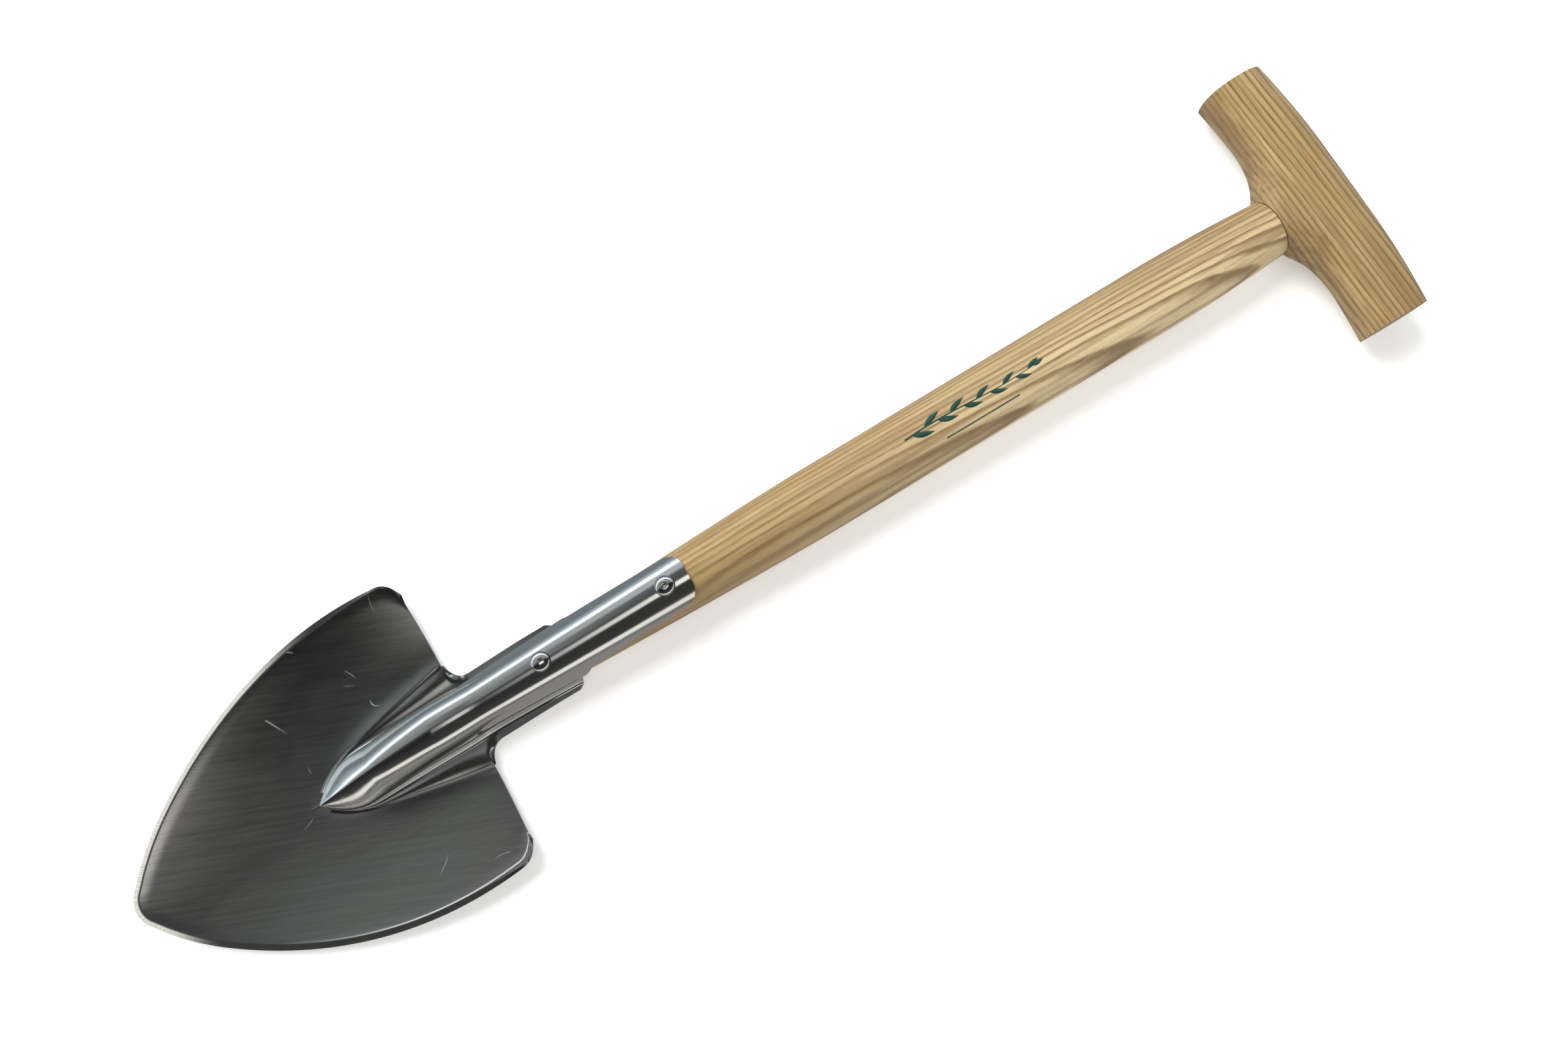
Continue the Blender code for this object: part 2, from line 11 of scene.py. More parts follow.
import bmesh
import bpy
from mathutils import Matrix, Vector


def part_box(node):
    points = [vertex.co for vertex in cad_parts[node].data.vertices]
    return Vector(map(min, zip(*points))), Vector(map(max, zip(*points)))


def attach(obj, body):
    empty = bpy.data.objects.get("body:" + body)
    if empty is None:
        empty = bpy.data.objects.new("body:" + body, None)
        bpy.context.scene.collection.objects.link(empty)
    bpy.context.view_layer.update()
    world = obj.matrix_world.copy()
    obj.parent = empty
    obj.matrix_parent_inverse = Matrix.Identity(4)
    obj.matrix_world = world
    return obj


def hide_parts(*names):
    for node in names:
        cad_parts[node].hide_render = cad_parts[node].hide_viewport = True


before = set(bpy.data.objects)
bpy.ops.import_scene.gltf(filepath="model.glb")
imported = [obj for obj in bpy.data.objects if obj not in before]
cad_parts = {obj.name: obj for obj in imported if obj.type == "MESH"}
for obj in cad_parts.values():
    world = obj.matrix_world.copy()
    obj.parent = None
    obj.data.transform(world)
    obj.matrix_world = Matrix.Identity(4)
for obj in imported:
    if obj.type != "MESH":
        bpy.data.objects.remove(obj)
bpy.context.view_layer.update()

# ---- positions from the CAD model, in metres --------------------------------------
BLADE_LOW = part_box("blade_and_socket")[0]
SHAFT_LOW, SHAFT_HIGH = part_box("shaft")
HANDLE_LOW, HANDLE_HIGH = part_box("t_handle")
TIP_X = BLADE_LOW[0]
AXIS_Z = (SHAFT_LOW[2] + SHAFT_HIGH[2]) / 2
FLOOR_Z = min(BLADE_LOW[2], SHAFT_LOW[2])

# ---- dimensions shared with the CAD, in millimetres --------------------------------
OVERALL_LENGTH = (HANDLE_HIGH[0] - TIP_X) * 1000
SHAFT_BELLY_R = (SHAFT_HIGH[2] - SHAFT_LOW[2]) * 500
SHEET = 1.5
GAP = 0.3
SHOULDER_X = 187.8
CORNER_R = 10.0
SIDE_R = 209.7
SIDE_CENTRE = (156.6, -130.1)
NOSE_ARC_START_X = 30.0
NOSE_ARC_R = 125.0
TIP_R = 15.7
DISH_LOW_X = 95.0
DISH_LOW_Z = -15.5
DISH_TIP_RISE = 9.5
DISH_SHOULDER_RISE = 3.5
DISH_SIDE_RISE = 8.0
HALF_WIDTH = 79.6
CURL_WIDTH = 9.0
CURL_RISE = 0.9
BEVEL_WIDTH = 3.2
BEVEL_WIDTH_CORNER = 0.8
EDGE_THICKNESS = 0.5
THINNING_LENGTH = 14.0
NOSE_X = 100.0
FROG_BLEND_X = 180.0
FROG_BLEND_LENGTH = 20.0
FROG_LENGTH = 27.0
CREST_LENGTH = 76.0
NOSE_PEAK = 1.3
NOSE_UPRIGHT_LENGTH = 14.0
SOCKET_R = 13.2
VALLEY_Z = -13.5
FLANGE_Z = -8.5
FLANGE_RISE_LENGTH = 45.0
VALLEY_SINK_LENGTH = 70.0
CREASE_RISE = 0.9
CREASE_FADE = 5.0
CREASE_START_X = 108.0
CREASE_GROWTH = 40.0
FLANGE_Y = 18.4
FOOT_R = 1.8
VALLEY_START_X = 120.0
VALLEY_SLOPE = 0.205
FLANGE_END_X = 249.5
FLANGE_CUT_BACK = 6.0
CUT_BACK_LENGTH = 12.0
STRAP_END_X = 320.0
STRAP_EASE = 9.0
STRAP_HALF_START = 13.8
STRAP_HALF_END = 12.8
STRAP_CORNER_R = 8.0
SHAFT_END_X = 165.0
SHAFT_LOW_R = 11.0
SWELL_START_X = 200.0
SWELL_END_X = 390.0
NECK_TAPER_X = 575.0
JOINT_X = 646.8
JOINT_R = 14.2
TENON_R = 9.0
TENON_LENGTH = 24.0
HANDLE_HALF_SPAN = HANDLE_HIGH[1] * 1000
HANDLE_HALF_THICK = 15.5
HANDLE_CROWN_DROP = 4.0
HANDLE_INNER_X = 655.7
HANDLE_INNER_DROP = 2.5
HANDLE_FLARE_END_Y = 34.0
RIVET_XS = (("lower", 238.5), ("upper", 307.8))
RIVET_SHANK_R = 2.4
RIVET_HEAD_R = 5.0
RIVET_HEAD_HEIGHT = 2.8
WASHER_R = 5.4
WASHER_THICK = 1.0
TAIL_R = 3.8
TAIL_HEIGHT = 1.1

# ---- mesh density ------------------------------------------------------------------
FROG_ROWS = 84
FILLET_ROWS = 14
CHANNEL_ROWS = 16
STRAP_ROWS = 30
STRAP_CORNER_ROWS = 12
SPOKE_CROWDING = 0.72
CAP_STEPS, WALL_STEPS, FOOT_STEPS, VALLEY_STEPS = 26, 8, 8, 14
BLADE_RINGS = 44
BEVEL_RINGS = 3
ROUND_STEPS = 128
SMALL_ROUND_STEPS = 64


def place(x, y, z):
    """Millimetres along the tool to metres in the frame."""
    return Vector((TIP_X + x / 1000, y / 1000, AXIS_Z + z / 1000))


def clamp(t):
    return min(max(t, 0.0), 1.0)


def smooth(t):
    """An S-curve from 0 to 1."""
    t = clamp(t)
    return t * t * (3.0 - 2.0 * t)


def mix(a, b, t):
    return a + (b - a) * t


# ---- shapes as formulas ------------------------------------------------------------
def shaft_radius(x):
    swell = clamp((x - SWELL_START_X) / (SWELL_END_X - SWELL_START_X))
    radius = SHAFT_BELLY_R - (SHAFT_BELLY_R - SHAFT_LOW_R) * (1.0 - swell) ** 1.35
    neck = max(x - NECK_TAPER_X, 0.0) / (JOINT_X - NECK_TAPER_X)
    return radius - (SHAFT_BELLY_R - JOINT_R) * neck ** 2


def socket_radius(x):
    return shaft_radius(x) + GAP + SHEET


def dish_height(x, y):
    """Front face of the blade, before the frog is pressed into it."""
    if x < DISH_LOW_X:
        low = DISH_LOW_Z + DISH_TIP_RISE * ((DISH_LOW_X - x) / DISH_LOW_X) ** 2.2
    else:
        rise = smooth((x - DISH_LOW_X) / (SHOULDER_X - DISH_LOW_X))
        low = DISH_LOW_Z + DISH_SHOULDER_RISE * rise
    return low + DISH_SIDE_RISE * (abs(y) / HALF_WIDTH) ** 2.2


def frog_half_width(x):
    t = clamp((x - NOSE_X) / FROG_LENGTH)
    frog = SOCKET_R * (1.0 - (1.0 - t) ** 2)
    return mix(frog, socket_radius(x), smooth((x - FROG_BLEND_X) / FROG_BLEND_LENGTH))


def crease_half_width(x):
    """Outer edge of the valley that runs beside the frog."""
    return 1.1 * frog_half_width(x) + VALLEY_SLOPE * max(x - VALLEY_START_X, 0.0)


def fold_level(x):
    """Height of the fold at the foot of the frog and of the socket's walls."""
    level = mix(dish_height(x, 0.0), VALLEY_Z, smooth((x - NOSE_X) / VALLEY_SINK_LENGTH))
    return mix(level, FLANGE_Z, smooth((x - SHOULDER_X) / FLANGE_RISE_LENGTH))


def crease_lift(x, distance):
    """The crease's own height at a distance from it, growing from the nose to the shoulder."""
    return CREASE_RISE * smooth((x - CREASE_START_X) / CREASE_GROWTH) * math.exp(-distance / CREASE_FADE)


def arc_points(centre, radius, start, end, count):
    """Points on an arc from angle start to angle end, both in radians, ends included."""
    points = []
    for k in range(count + 1):
        angle = mix(start, end, k / count)
        points.append((centre[0] + radius * math.cos(angle), centre[1] + radius * math.sin(angle)))
    return points


def angle_from(centre, point):
    return math.atan2(point[1] - centre[1], point[0] - centre[0])


def blade_outline():
    """Half of the blade's outline: corner, side, nose and tip arcs, each tangent to the next."""
    side_x, side_y = SIDE_CENTRE
    corner_x = SHOULDER_X - CORNER_R
    corner_y = side_y + math.sqrt((SIDE_R - CORNER_R) ** 2 - (corner_x - side_x) ** 2)
    corner = (corner_x, corner_y)
    join_corner = angle_from(SIDE_CENTRE, corner)
    join_nose = math.pi - math.acos((side_x - NOSE_ARC_START_X) / SIDE_R)
    shift = SIDE_R - NOSE_ARC_R
    nose = (side_x + shift * math.cos(join_nose), side_y + shift * math.sin(join_nose))
    tip = (TIP_R, 0.0)
    join_tip = angle_from(nose, tip)
    points = arc_points(corner, CORNER_R, 0.0, join_corner, 40)
    points += arc_points(SIDE_CENTRE, SIDE_R, join_corner, join_nose, 160)[1:]
    points += arc_points(nose, NOSE_ARC_R, join_nose, join_tip, 60)[1:]
    points += arc_points(tip, TIP_R, join_tip, math.pi, 40)[1:]
    return points


def run_lengths(points):
    lengths = [0.0]
    for a, b in zip(points, points[1:]):
        lengths.append(lengths[-1] + math.dist(a, b))
    return lengths


def along(points, lengths, fraction):
    """The point and the direction at a fraction of an outline's length."""
    target = fraction * lengths[-1]
    k = 0
    while k < len(points) - 2 and lengths[k + 1] < target:
        k += 1
    a, b = points[k], points[k + 1]
    t = (target - lengths[k]) / (lengths[k + 1] - lengths[k])
    step = math.dist(a, b)
    direction = ((b[0] - a[0]) / step, (b[1] - a[1]) / step)
    return (mix(a[0], b[0], t), mix(a[1], b[1], t)), direction


# ---- the socket: rows across the tool, columns from the crest outwards ---------------
def frog_section(x):
    """Crest-to-fold points (y, z) of a row through the frog."""
    half = frog_half_width(x)
    rise = clamp((x - NOSE_X) / CREST_LENGTH)
    level = fold_level(x)
    crest = mix(level, SOCKET_R, 1.0 - (1.0 - rise) ** 1.45)
    crest = mix(crest, socket_radius(x), smooth((x - FROG_BLEND_X) / FROG_BLEND_LENGTH))
    height = crest - level
    cap = min(half, 0.8 * height)
    fold = min(FOOT_R, height - cap, 0.5 * (crease_half_width(x) - half))
    peak = 2.0 / mix(NOSE_PEAK, 2.0, smooth(rise))
    points = []
    for k in range(CAP_STEPS + 1):
        angle = math.pi / 2 * k / CAP_STEPS
        across = half * math.sin(angle) ** peak
        points.append((across, crest - cap + cap * math.cos(angle)))
    for k in range(1, WALL_STEPS + 1):
        points.append((half, mix(crest - cap, level + fold, k / WALL_STEPS)))
    for k in range(1, FOOT_STEPS + 1):
        angle = math.pi / 2 * k / FOOT_STEPS
        points.append((half + fold * (1.0 - math.cos(angle)), level + fold * (1.0 - math.sin(angle))))
    return points


def socket_row(x, edge):
    """Half a row: from the crest down the wall, then out over the valley to the edge point."""
    points = [Vector((x, y, z)) for y, z in frog_section(x)]
    fold_end = points[-1]
    for k in range(1, VALLEY_STEPS + 1):
        t = k / VALLEY_STEPS
        lift = (edge[2] - fold_end[2]) * (t ** 2.4 - t)
        points.append(fold_end.lerp(edge, t) + Vector((0.0, 0.0, lift)))
    return points


def shoulder_fillet():
    """Radius of the quarter round from the crease's end to the flange's edge."""
    return crease_half_width(SHOULDER_X) - FLANGE_Y


def fillet_edge(t):
    """The shoulder's inner edge: t goes from 0 at the crease's end to 1 at the flange."""
    start_y = crease_half_width(SHOULDER_X)
    angle = math.pi * (1.0 + t / 2)
    x = SHOULDER_X + shoulder_fillet() * (1.0 + math.cos(angle))
    y = start_y + shoulder_fillet() * math.sin(angle)
    height = dish_height(SHOULDER_X, start_y) + crease_lift(SHOULDER_X, 0.0)
    return Vector((x, y, mix(height, fold_level(x), smooth(t))))


def channel_point(x, distance):
    """A point of the open channel's section, at a distance along it from the crest."""
    radius = socket_radius(x)
    quarter = radius * math.pi / 2
    wall = -fold_level(x) - FOOT_R
    if distance <= quarter:
        angle = distance / radius
        return Vector((x, radius * math.sin(angle), radius * math.cos(angle)))
    distance -= quarter
    if distance <= wall:
        return Vector((x, radius, -distance))
    angle = min((distance - wall) / FOOT_R, math.pi / 2)
    run = max(distance - wall - FOOT_R * math.pi / 2, 0.0)
    return Vector((x, radius + FOOT_R * (1.0 - math.cos(angle)) + run, -wall - FOOT_R * math.sin(angle)))


def channel_stations(x):
    """Distances of the columns along the channel's section."""
    radius = socket_radius(x)
    quarter = radius * math.pi / 2
    wall = -fold_level(x) - FOOT_R
    fold = FOOT_R * math.pi / 2
    flange = FLANGE_Y - radius - FOOT_R
    stations = [quarter * k / CAP_STEPS for k in range(CAP_STEPS + 1)]
    stations += [quarter + wall * k / WALL_STEPS for k in range(1, WALL_STEPS + 1)]
    stations += [quarter + wall + fold * k / FOOT_STEPS for k in range(1, FOOT_STEPS + 1)]
    stations += [quarter + wall + fold + flange * k / VALLEY_STEPS for k in range(1, VALLEY_STEPS + 1)]
    return stations


def strap_half_width(x):
    half = mix(STRAP_HALF_START, STRAP_HALF_END, (x - FLANGE_END_X) / (STRAP_END_X - FLANGE_END_X))
    into_corner = max(x - (STRAP_END_X - STRAP_CORNER_R), 0.0)
    return half - STRAP_CORNER_R + math.sqrt(max(STRAP_CORNER_R ** 2 - into_corner ** 2, 0.0))


def channel_row(x):
    """Half a row of the open channel; the last one is cut back towards the flange's edge."""
    points = [channel_point(x, s) for s in channel_stations(x)]
    cut_back = FLANGE_CUT_BACK * clamp((x - FLANGE_END_X) / CUT_BACK_LENGTH + 1.0)
    beyond = len(points) - 1 - CAP_STEPS
    for k in range(1, beyond + 1):
        points[CAP_STEPS + k].x -= cut_back * k / beyond
    return points


def strap_row(x):
    """Half a row of the strap: an arc over the front of the shaft."""
    radius = socket_radius(x)
    reach = math.asin(strap_half_width(x) / radius)
    reach = mix(math.pi / 2, reach, smooth((x - FLANGE_END_X) / STRAP_EASE))
    return [channel_point(x, radius * reach * k / CAP_STEPS) for k in range(CAP_STEPS + 1)]


def socket_rows():
    """All half rows, from the frog's nose to the end of the strap."""
    rows = []
    for k in range(1, FROG_ROWS + 1):
        x = NOSE_X + (SHOULDER_X - NOSE_X) * (k / FROG_ROWS) ** 1.3
        half = crease_half_width(x)
        height = dish_height(x, half) + crease_lift(x, 0.0)
        rows.append(socket_row(x, Vector((x, half, height))))
    fillet_end_x = SHOULDER_X + shoulder_fillet()
    for k in range(1, FILLET_ROWS + 1):
        t = k / FILLET_ROWS
        rows.append(socket_row(mix(SHOULDER_X, fillet_end_x, t), fillet_edge(t)))
    for k in range(1, CHANNEL_ROWS + 1):
        rows.append(channel_row(mix(fillet_end_x, FLANGE_END_X, k / CHANNEL_ROWS)))
    corner_x = STRAP_END_X - STRAP_CORNER_R
    for k in range(1, STRAP_ROWS + 1):
        rows.append(strap_row(mix(FLANGE_END_X, corner_x, (k / STRAP_ROWS) ** 1.3)))
    for k in range(1, STRAP_CORNER_ROWS + 1):
        turn = math.pi / 2 * k / STRAP_CORNER_ROWS
        rows.append(strap_row(corner_x + STRAP_CORNER_R * math.sin(turn)))
    return rows


# ---- the blade: spokes from the frog's crease out to the cutting edge ----------------
def raised(spot, edge):
    """Lift a flat point onto the dished face, with the curl beside the edge."""
    curl = max(1.0 - (spot - edge).length / CURL_WIDTH, 0.0)
    return Vector((spot.x, spot.y, dish_height(spot.x, spot.y) + CURL_RISE * curl * curl))


def blade_spoke(inner, fraction, outline, lengths):
    """(point, distance to the edge, share of the bevel) from a crease point to the edge."""
    (edge_x, edge_y), (dir_x, dir_y) = along(outline, lengths, fraction)
    edge = Vector((edge_x, edge_y, 0.0))
    start = Vector((inner.x, inner.y, 0.0))
    inward = Vector((-dir_y, dir_x, 0.0))
    towards_start = (start - edge).normalized()
    inward = towards_start.lerp(inward, smooth(fraction / 0.1)).normalized()
    bevel = mix(BEVEL_WIDTH_CORNER, BEVEL_WIDTH, smooth(fraction / 0.25))
    arris = edge + inward * bevel
    inward = inward.lerp(towards_start, smooth((fraction - 0.7) / 0.25)).normalized()
    reach = (arris - start).length / 3.0
    handles = (start, start - towards_start * reach, arris + inward * reach, arris)
    points = []
    for k in range(1, BLADE_RINGS + 1):
        t = 1.0 - (1.0 - k / BLADE_RINGS) ** 1.25
        weights = ((1 - t) ** 3, 3 * t * (1 - t) ** 2, 3 * t * t * (1 - t), t ** 3)
        spot = sum((h * w for h, w in zip(handles, weights)), Vector())
        point = raised(spot, edge)
        point.z += crease_lift(start.x, (spot - start).length)
        points.append((point, (spot - edge).length, 0.0))
    for k in range(1, BEVEL_RINGS + 1):
        spot = arris.lerp(edge, k / BEVEL_RINGS)
        points.append((raised(spot, edge), (spot - edge).length, k / BEVEL_RINGS))
    return points


def mirrored(point):
    return Vector((point.x, -point.y, point.z))


class Sheet:
    """The pressed sheet while it is built: its mesh and what is known about each vertex."""

    def __init__(self):
        self.mesh = bmesh.new()
        layers = self.mesh.verts.layers.float
        self.polish = layers.new("polish")
        self.edge_distance = layers.new("edge_distance")
        self.edge_run = layers.new("edge_run")
        self.bevel_share = {}
        self.crease_zone = set()

    def add(self, point, polish, distance=60.0, run=0.0):
        vertex = self.mesh.verts.new(point)
        vertex[self.polish] = polish
        vertex[self.edge_distance] = distance
        vertex[self.edge_run] = run
        return vertex


def column_polish(column, count):
    """How polished a column is: fully on the tube, fading out over the valley."""
    first_valley = CAP_STEPS + WALL_STEPS + FOOT_STEPS
    if count <= CAP_STEPS + 1 or column <= first_valley:
        return 1.0
    return mix(1.0, 0.45, (column - first_valley) / VALLEY_STEPS)


def full_row(sheet, half):
    """Vertices of a whole row, from its right edge over the crest to its left edge."""
    count = len(half)
    right = []
    for k in range(count - 1, 0, -1):
        right.append(sheet.add(mirrored(half[k]), column_polish(k, count)))
    return right + [sheet.add(half[k], column_polish(k, count)) for k in range(count)]


def add_socket(sheet, nose):
    """The frog, socket channel and strap; returns the rows of vertices."""
    mesh = sheet.mesh
    rows = [full_row(sheet, half) for half in socket_rows()]
    for a, b in zip(rows[0], rows[0][1:]):
        mesh.faces.new((nose, a, b))
    for row, following in zip(rows, rows[1:]):
        spare = (len(row) - len(following)) // 2
        for k in range(len(following) - 1):
            mesh.faces.new((row[k + spare + 1], row[k + spare], following[k], following[k + 1]))
    for row in rows[:FROG_ROWS]:
        sheet.crease_zone.update(row[:4])
        sheet.crease_zone.update(row[-4:])
    return rows


def add_blade(sheet, nose, rows):
    """The U-shaped blade strip round the frog."""
    mesh = sheet.mesh
    outline = blade_outline()
    lengths = run_lengths(outline)
    tip_spoke = [nose]
    for point, distance, share in blade_spoke(nose.co, 1.0, outline, lengths):
        vertex = sheet.add(Vector((point.x, 0.0, point.z)), 0.0, distance)
        sheet.bevel_share[vertex] = share
        tip_spoke.append(vertex)
    for side in (0, -1):
        previous = tip_spoke
        for k in range(FROG_ROWS):
            crease = rows[k][side]
            inner = Vector((crease.co.x, abs(crease.co.y), crease.co.z))
            t = (k + 1) / FROG_ROWS
            warped = t - SPOKE_CROWDING * math.sin(2 * math.pi * t) / (2 * math.pi)
            spoke = [crease]
            run = warped * lengths[-1] * (1.0 if side else -1.0)
            stations = blade_spoke(inner, 1.0 - warped, outline, lengths)
            for n, (point, distance, share) in enumerate(stations):
                spot = point if side else mirrored(point)
                from_crease = (spot - crease.co).length
                vertex = sheet.add(spot, 0.45 * (1.0 - smooth(from_crease / 9.0)), distance, run)
                sheet.bevel_share[vertex] = share
                if n < 3 and from_crease < 6.0:
                    sheet.crease_zone.add(vertex)
                spoke.append(vertex)
            for n in range(len(spoke) - 1):
                corners = (previous[n], previous[n + 1], spoke[n + 1], spoke[n])
                mesh.faces.new(corners if side == 0 else reversed(corners))
            previous = spoke


def soften_crease(sheet):
    """Relax the ridge between the valley and the blade, and the frog's nose."""
    zone = [v for v in sheet.crease_zone if not v.is_boundary]
    near_nose = []
    for vertex in sheet.mesh.verts:
        if math.hypot(vertex.co.x - NOSE_X - 2.0, vertex.co.y) < 7.0 and not vertex.is_boundary:
            near_nose.append(vertex)
    for _ in range(3):
        bmesh.ops.smooth_vert(sheet.mesh, verts=zone, factor=0.5,
                              use_axis_x=False, use_axis_y=False, use_axis_z=True)
    for _ in range(10):
        bmesh.ops.smooth_vert(sheet.mesh, verts=near_nose, factor=0.5,
                              use_axis_x=False, use_axis_y=False, use_axis_z=True)


def close_sheet(sheet):
    """Give the front face its thickness, thinner along the ground cutting edge."""
    mesh = sheet.mesh
    mesh.normal_update()
    front = list(mesh.verts)
    faces = list(mesh.faces)
    borders = [e for e in mesh.edges if e.is_boundary]
    share_of = sheet.bevel_share
    arris = {v for v, share in share_of.items() if share == 0.0}
    arris = {v for v in arris if any(share_of.get(e.other_vert(v), 0.0) > 0.0 for e in v.link_edges)}
    arris_edges = [e for e in mesh.edges if e.verts[0] in arris and e.verts[1] in arris]
    upright = Vector((0.0, 0.0, 1.0))
    back = {}
    for vertex in front:
        nose_distance = math.hypot(vertex.co.x - NOSE_X, vertex.co.y)
        normal = upright.lerp(vertex.normal, smooth(nose_distance / NOSE_UPRIGHT_LENGTH))
        if vertex.is_boundary and vertex.co.x < FLANGE_END_X - 2 * FLANGE_CUT_BACK:
            normal = upright
        normal = normal.lerp(upright, share_of.get(vertex, 0.0)).normalized()
        twin = sheet.add(vertex.co - normal * SHEET, vertex[sheet.polish],
                         vertex[sheet.edge_distance], vertex[sheet.edge_run])
        back[vertex] = twin
    for face in faces:
        mesh.faces.new([back[v] for v in reversed(face.verts)])
    for border in borders:
        face = border.link_faces[0]
        corners = [loop.vert for loop in face.loops]
        a, b = border.verts
        if corners[(corners.index(a) + 1) % len(corners)] is not b:
            a, b = b, a
        mesh.faces.new((b, a, back[a], back[b]))
    most_thinned = 1.0 - EDGE_THICKNESS / SHEET
    for vertex, share in share_of.items():
        from_shoulder = smooth((SHOULDER_X - vertex.co.x) / THINNING_LENGTH)
        vertex.co = vertex.co.lerp(back[vertex].co, share * most_thinned * from_shoulder)
    for edge in arris_edges:
        edge.smooth = False


# ---- meshes ------------------------------------------------------------------------
def mesh_object(name, mesh):
    """An object in the scene that holds the finished mesh."""
    data = bpy.data.meshes.new(name)
    mesh.to_mesh(data)
    mesh.free()
    made = bpy.data.objects.new(name, data)
    bpy.context.collection.objects.link(made)
    return made


def placed_object(name, mesh):
    """The same, for a mesh drawn in millimetres along the tool."""
    for vertex in mesh.verts:
        vertex.co = place(*vertex.co)
    bmesh.ops.recalc_face_normals(mesh, faces=mesh.faces)
    return mesh_object(name, mesh)


def new_piece(name, mesh, surface, node):
    """Turn millimetre geometry into a named piece that rides on the body."""
    piece = placed_object(name, mesh)
    for polygon in piece.data.polygons:
        polygon.use_smooth = True
    piece.data.materials.append(surface)
    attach(piece, "root")
    if node:
        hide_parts(node)
    return piece


def round_edges(piece, width, segments=2, angle=40.0):
    """A small rounding on a piece's sharp edges, in millimetres."""
    bevel = piece.modifiers.new("rounded_edges", "BEVEL")
    bevel.width = width / 1000
    bevel.segments = segments
    bevel.limit_method = "ANGLE"
    bevel.angle_limit = math.radians(angle)
    bevel.harden_normals = True
    return bevel


def turned(profile, axis_x=None, steps=ROUND_STEPS):
    """Closed turned solid: (x, r) along the tool, or (z, r) upright at axis_x."""
    mesh = bmesh.new()
    rings = []
    for along_axis, radius in profile:
        ring = []
        for k in range(steps if radius > 0 else 1):
            angle = 2 * math.pi * k / steps
            across, up = radius * math.cos(angle), radius * math.sin(angle)
            if axis_x is None:
                spot = (along_axis, across, up)
            else:
                spot = (axis_x + across, up, along_axis)
            ring.append(mesh.verts.new(spot))
        rings.append(ring)
    for ring, following in zip(rings, rings[1:]):
        count = max(len(ring), len(following))
        for k in range(count):
            corners = [ring[k % len(ring)], ring[(k + 1) % len(ring)]]
            corners += [following[(k + 1) % len(following)], following[k % len(following)]]
            mesh.faces.new(list(dict.fromkeys(corners)))
    return mesh


def build_blade(steel):
    sheet = Sheet()
    nose = sheet.add(Vector((NOSE_X, 0.0, dish_height(NOSE_X, 0.0))), 0.6)
    rows = add_socket(sheet, nose)
    add_blade(sheet, nose, rows)
    soften_crease(sheet)
    close_sheet(sheet)
    piece = new_piece("pressed_blade", sheet.mesh, steel, "blade_and_socket")
    round_edges(piece, 0.22, 2, 55.0)


def washer_seat(x):
    """Height of the flat seat on the shaft's back, under a rivet's washer."""
    return -math.sqrt(shaft_radius(x) ** 2 - (WASHER_R + GAP) ** 2)


def cut_seats(shaft):
    """Cut the washers' seats into the shaft's back."""
    for where, x in RIVET_XS:
        seat = washer_seat(x)
        profile = [(-30.0, 0.0), (-30.0, WASHER_R + GAP), (seat, WASHER_R + GAP), (seat, 0.0)]
        cutter = placed_object("seat_cutter_" + where, turned(profile, x, SMALL_ROUND_STEPS))
        cutter_mesh = cutter.data
        modifier = shaft.modifiers.new("seat_" + where, "BOOLEAN")
        modifier.object = cutter
        modifier.operation = "DIFFERENCE"
        bpy.context.view_layer.objects.active = shaft
        bpy.ops.object.modifier_apply(modifier=modifier.name)
        bpy.data.objects.remove(cutter, do_unlink=True)
        bpy.data.meshes.remove(cutter_mesh)


def build_shaft(ash):
    end_r = SHAFT_LOW_R - 2.0
    profile = [(SHAFT_END_X, 0.0), (SHAFT_END_X, end_r - 1.5), (SHAFT_END_X + 1.5, end_r)]
    profile += [(SHAFT_END_X + 22.0, SHAFT_LOW_R)]
    steps = 150
    end_round = 0.5
    for k in range(steps + 1):
        x = mix(SWELL_START_X, JOINT_X - end_round, k / steps)
        profile.append((x, shaft_radius(x)))
    for k in range(1, 4):
        turn = math.pi / 2 * k / 3
        profile.append((JOINT_X - end_round * (1.0 - math.sin(turn)),
                        shaft_radius(JOINT_X) - end_round * (1.0 - math.cos(turn))))
    tenon_end = JOINT_X + TENON_LENGTH
    profile += [(JOINT_X, TENON_R), (tenon_end - 1.0, TENON_R)]
    profile += [(tenon_end, TENON_R - 1.0), (tenon_end, 0.0)]
    shaft = new_piece("turned_shaft", turned(profile), ash, "shaft")
    cut_seats(shaft)
    shaft.data.set_sharp_from_angle(angle=math.radians(40.0))


def handle_section(y, steps):
    """A section across the T-handle's bar, from the neck's top round to its underside."""
    reach = abs(y) / HANDLE_HALF_SPAN
    outer = OVERALL_LENGTH - HANDLE_CROWN_DROP * reach ** 2.3
    flare = max(abs(y) - JOINT_R, 0.0)
    inner = JOINT_X + GAP + (HANDLE_INNER_X - JOINT_X) * (1.0 - math.exp(-((flare / 10.0) ** 1.25)))
    inner -= HANDLE_INNER_DROP * max((abs(y) - 40.0) / (HANDLE_HALF_SPAN - 40.0), 0.0) ** 1.3
    neck = math.sqrt(max(JOINT_R ** 2 - y * y, 0.0))
    power = 2.3
    middle, half = (outer + inner) / 2, (outer - inner) / 2
    points = []
    for k in range(steps + 1):
        angle = math.pi - 2 * math.pi * k / steps
        away = math.copysign(abs(math.cos(angle)) ** (2 / power), math.cos(angle))
        height = HANDLE_HALF_THICK ** power * (1.0 - abs(away) ** power)
        if away < 0:
            height += (neck * abs(away)) ** power
        side = 1.0 if k < steps / 2 else -1.0
        points.append((middle + half * away, y, side * max(height, 0.0) ** (1 / power)))
    return points


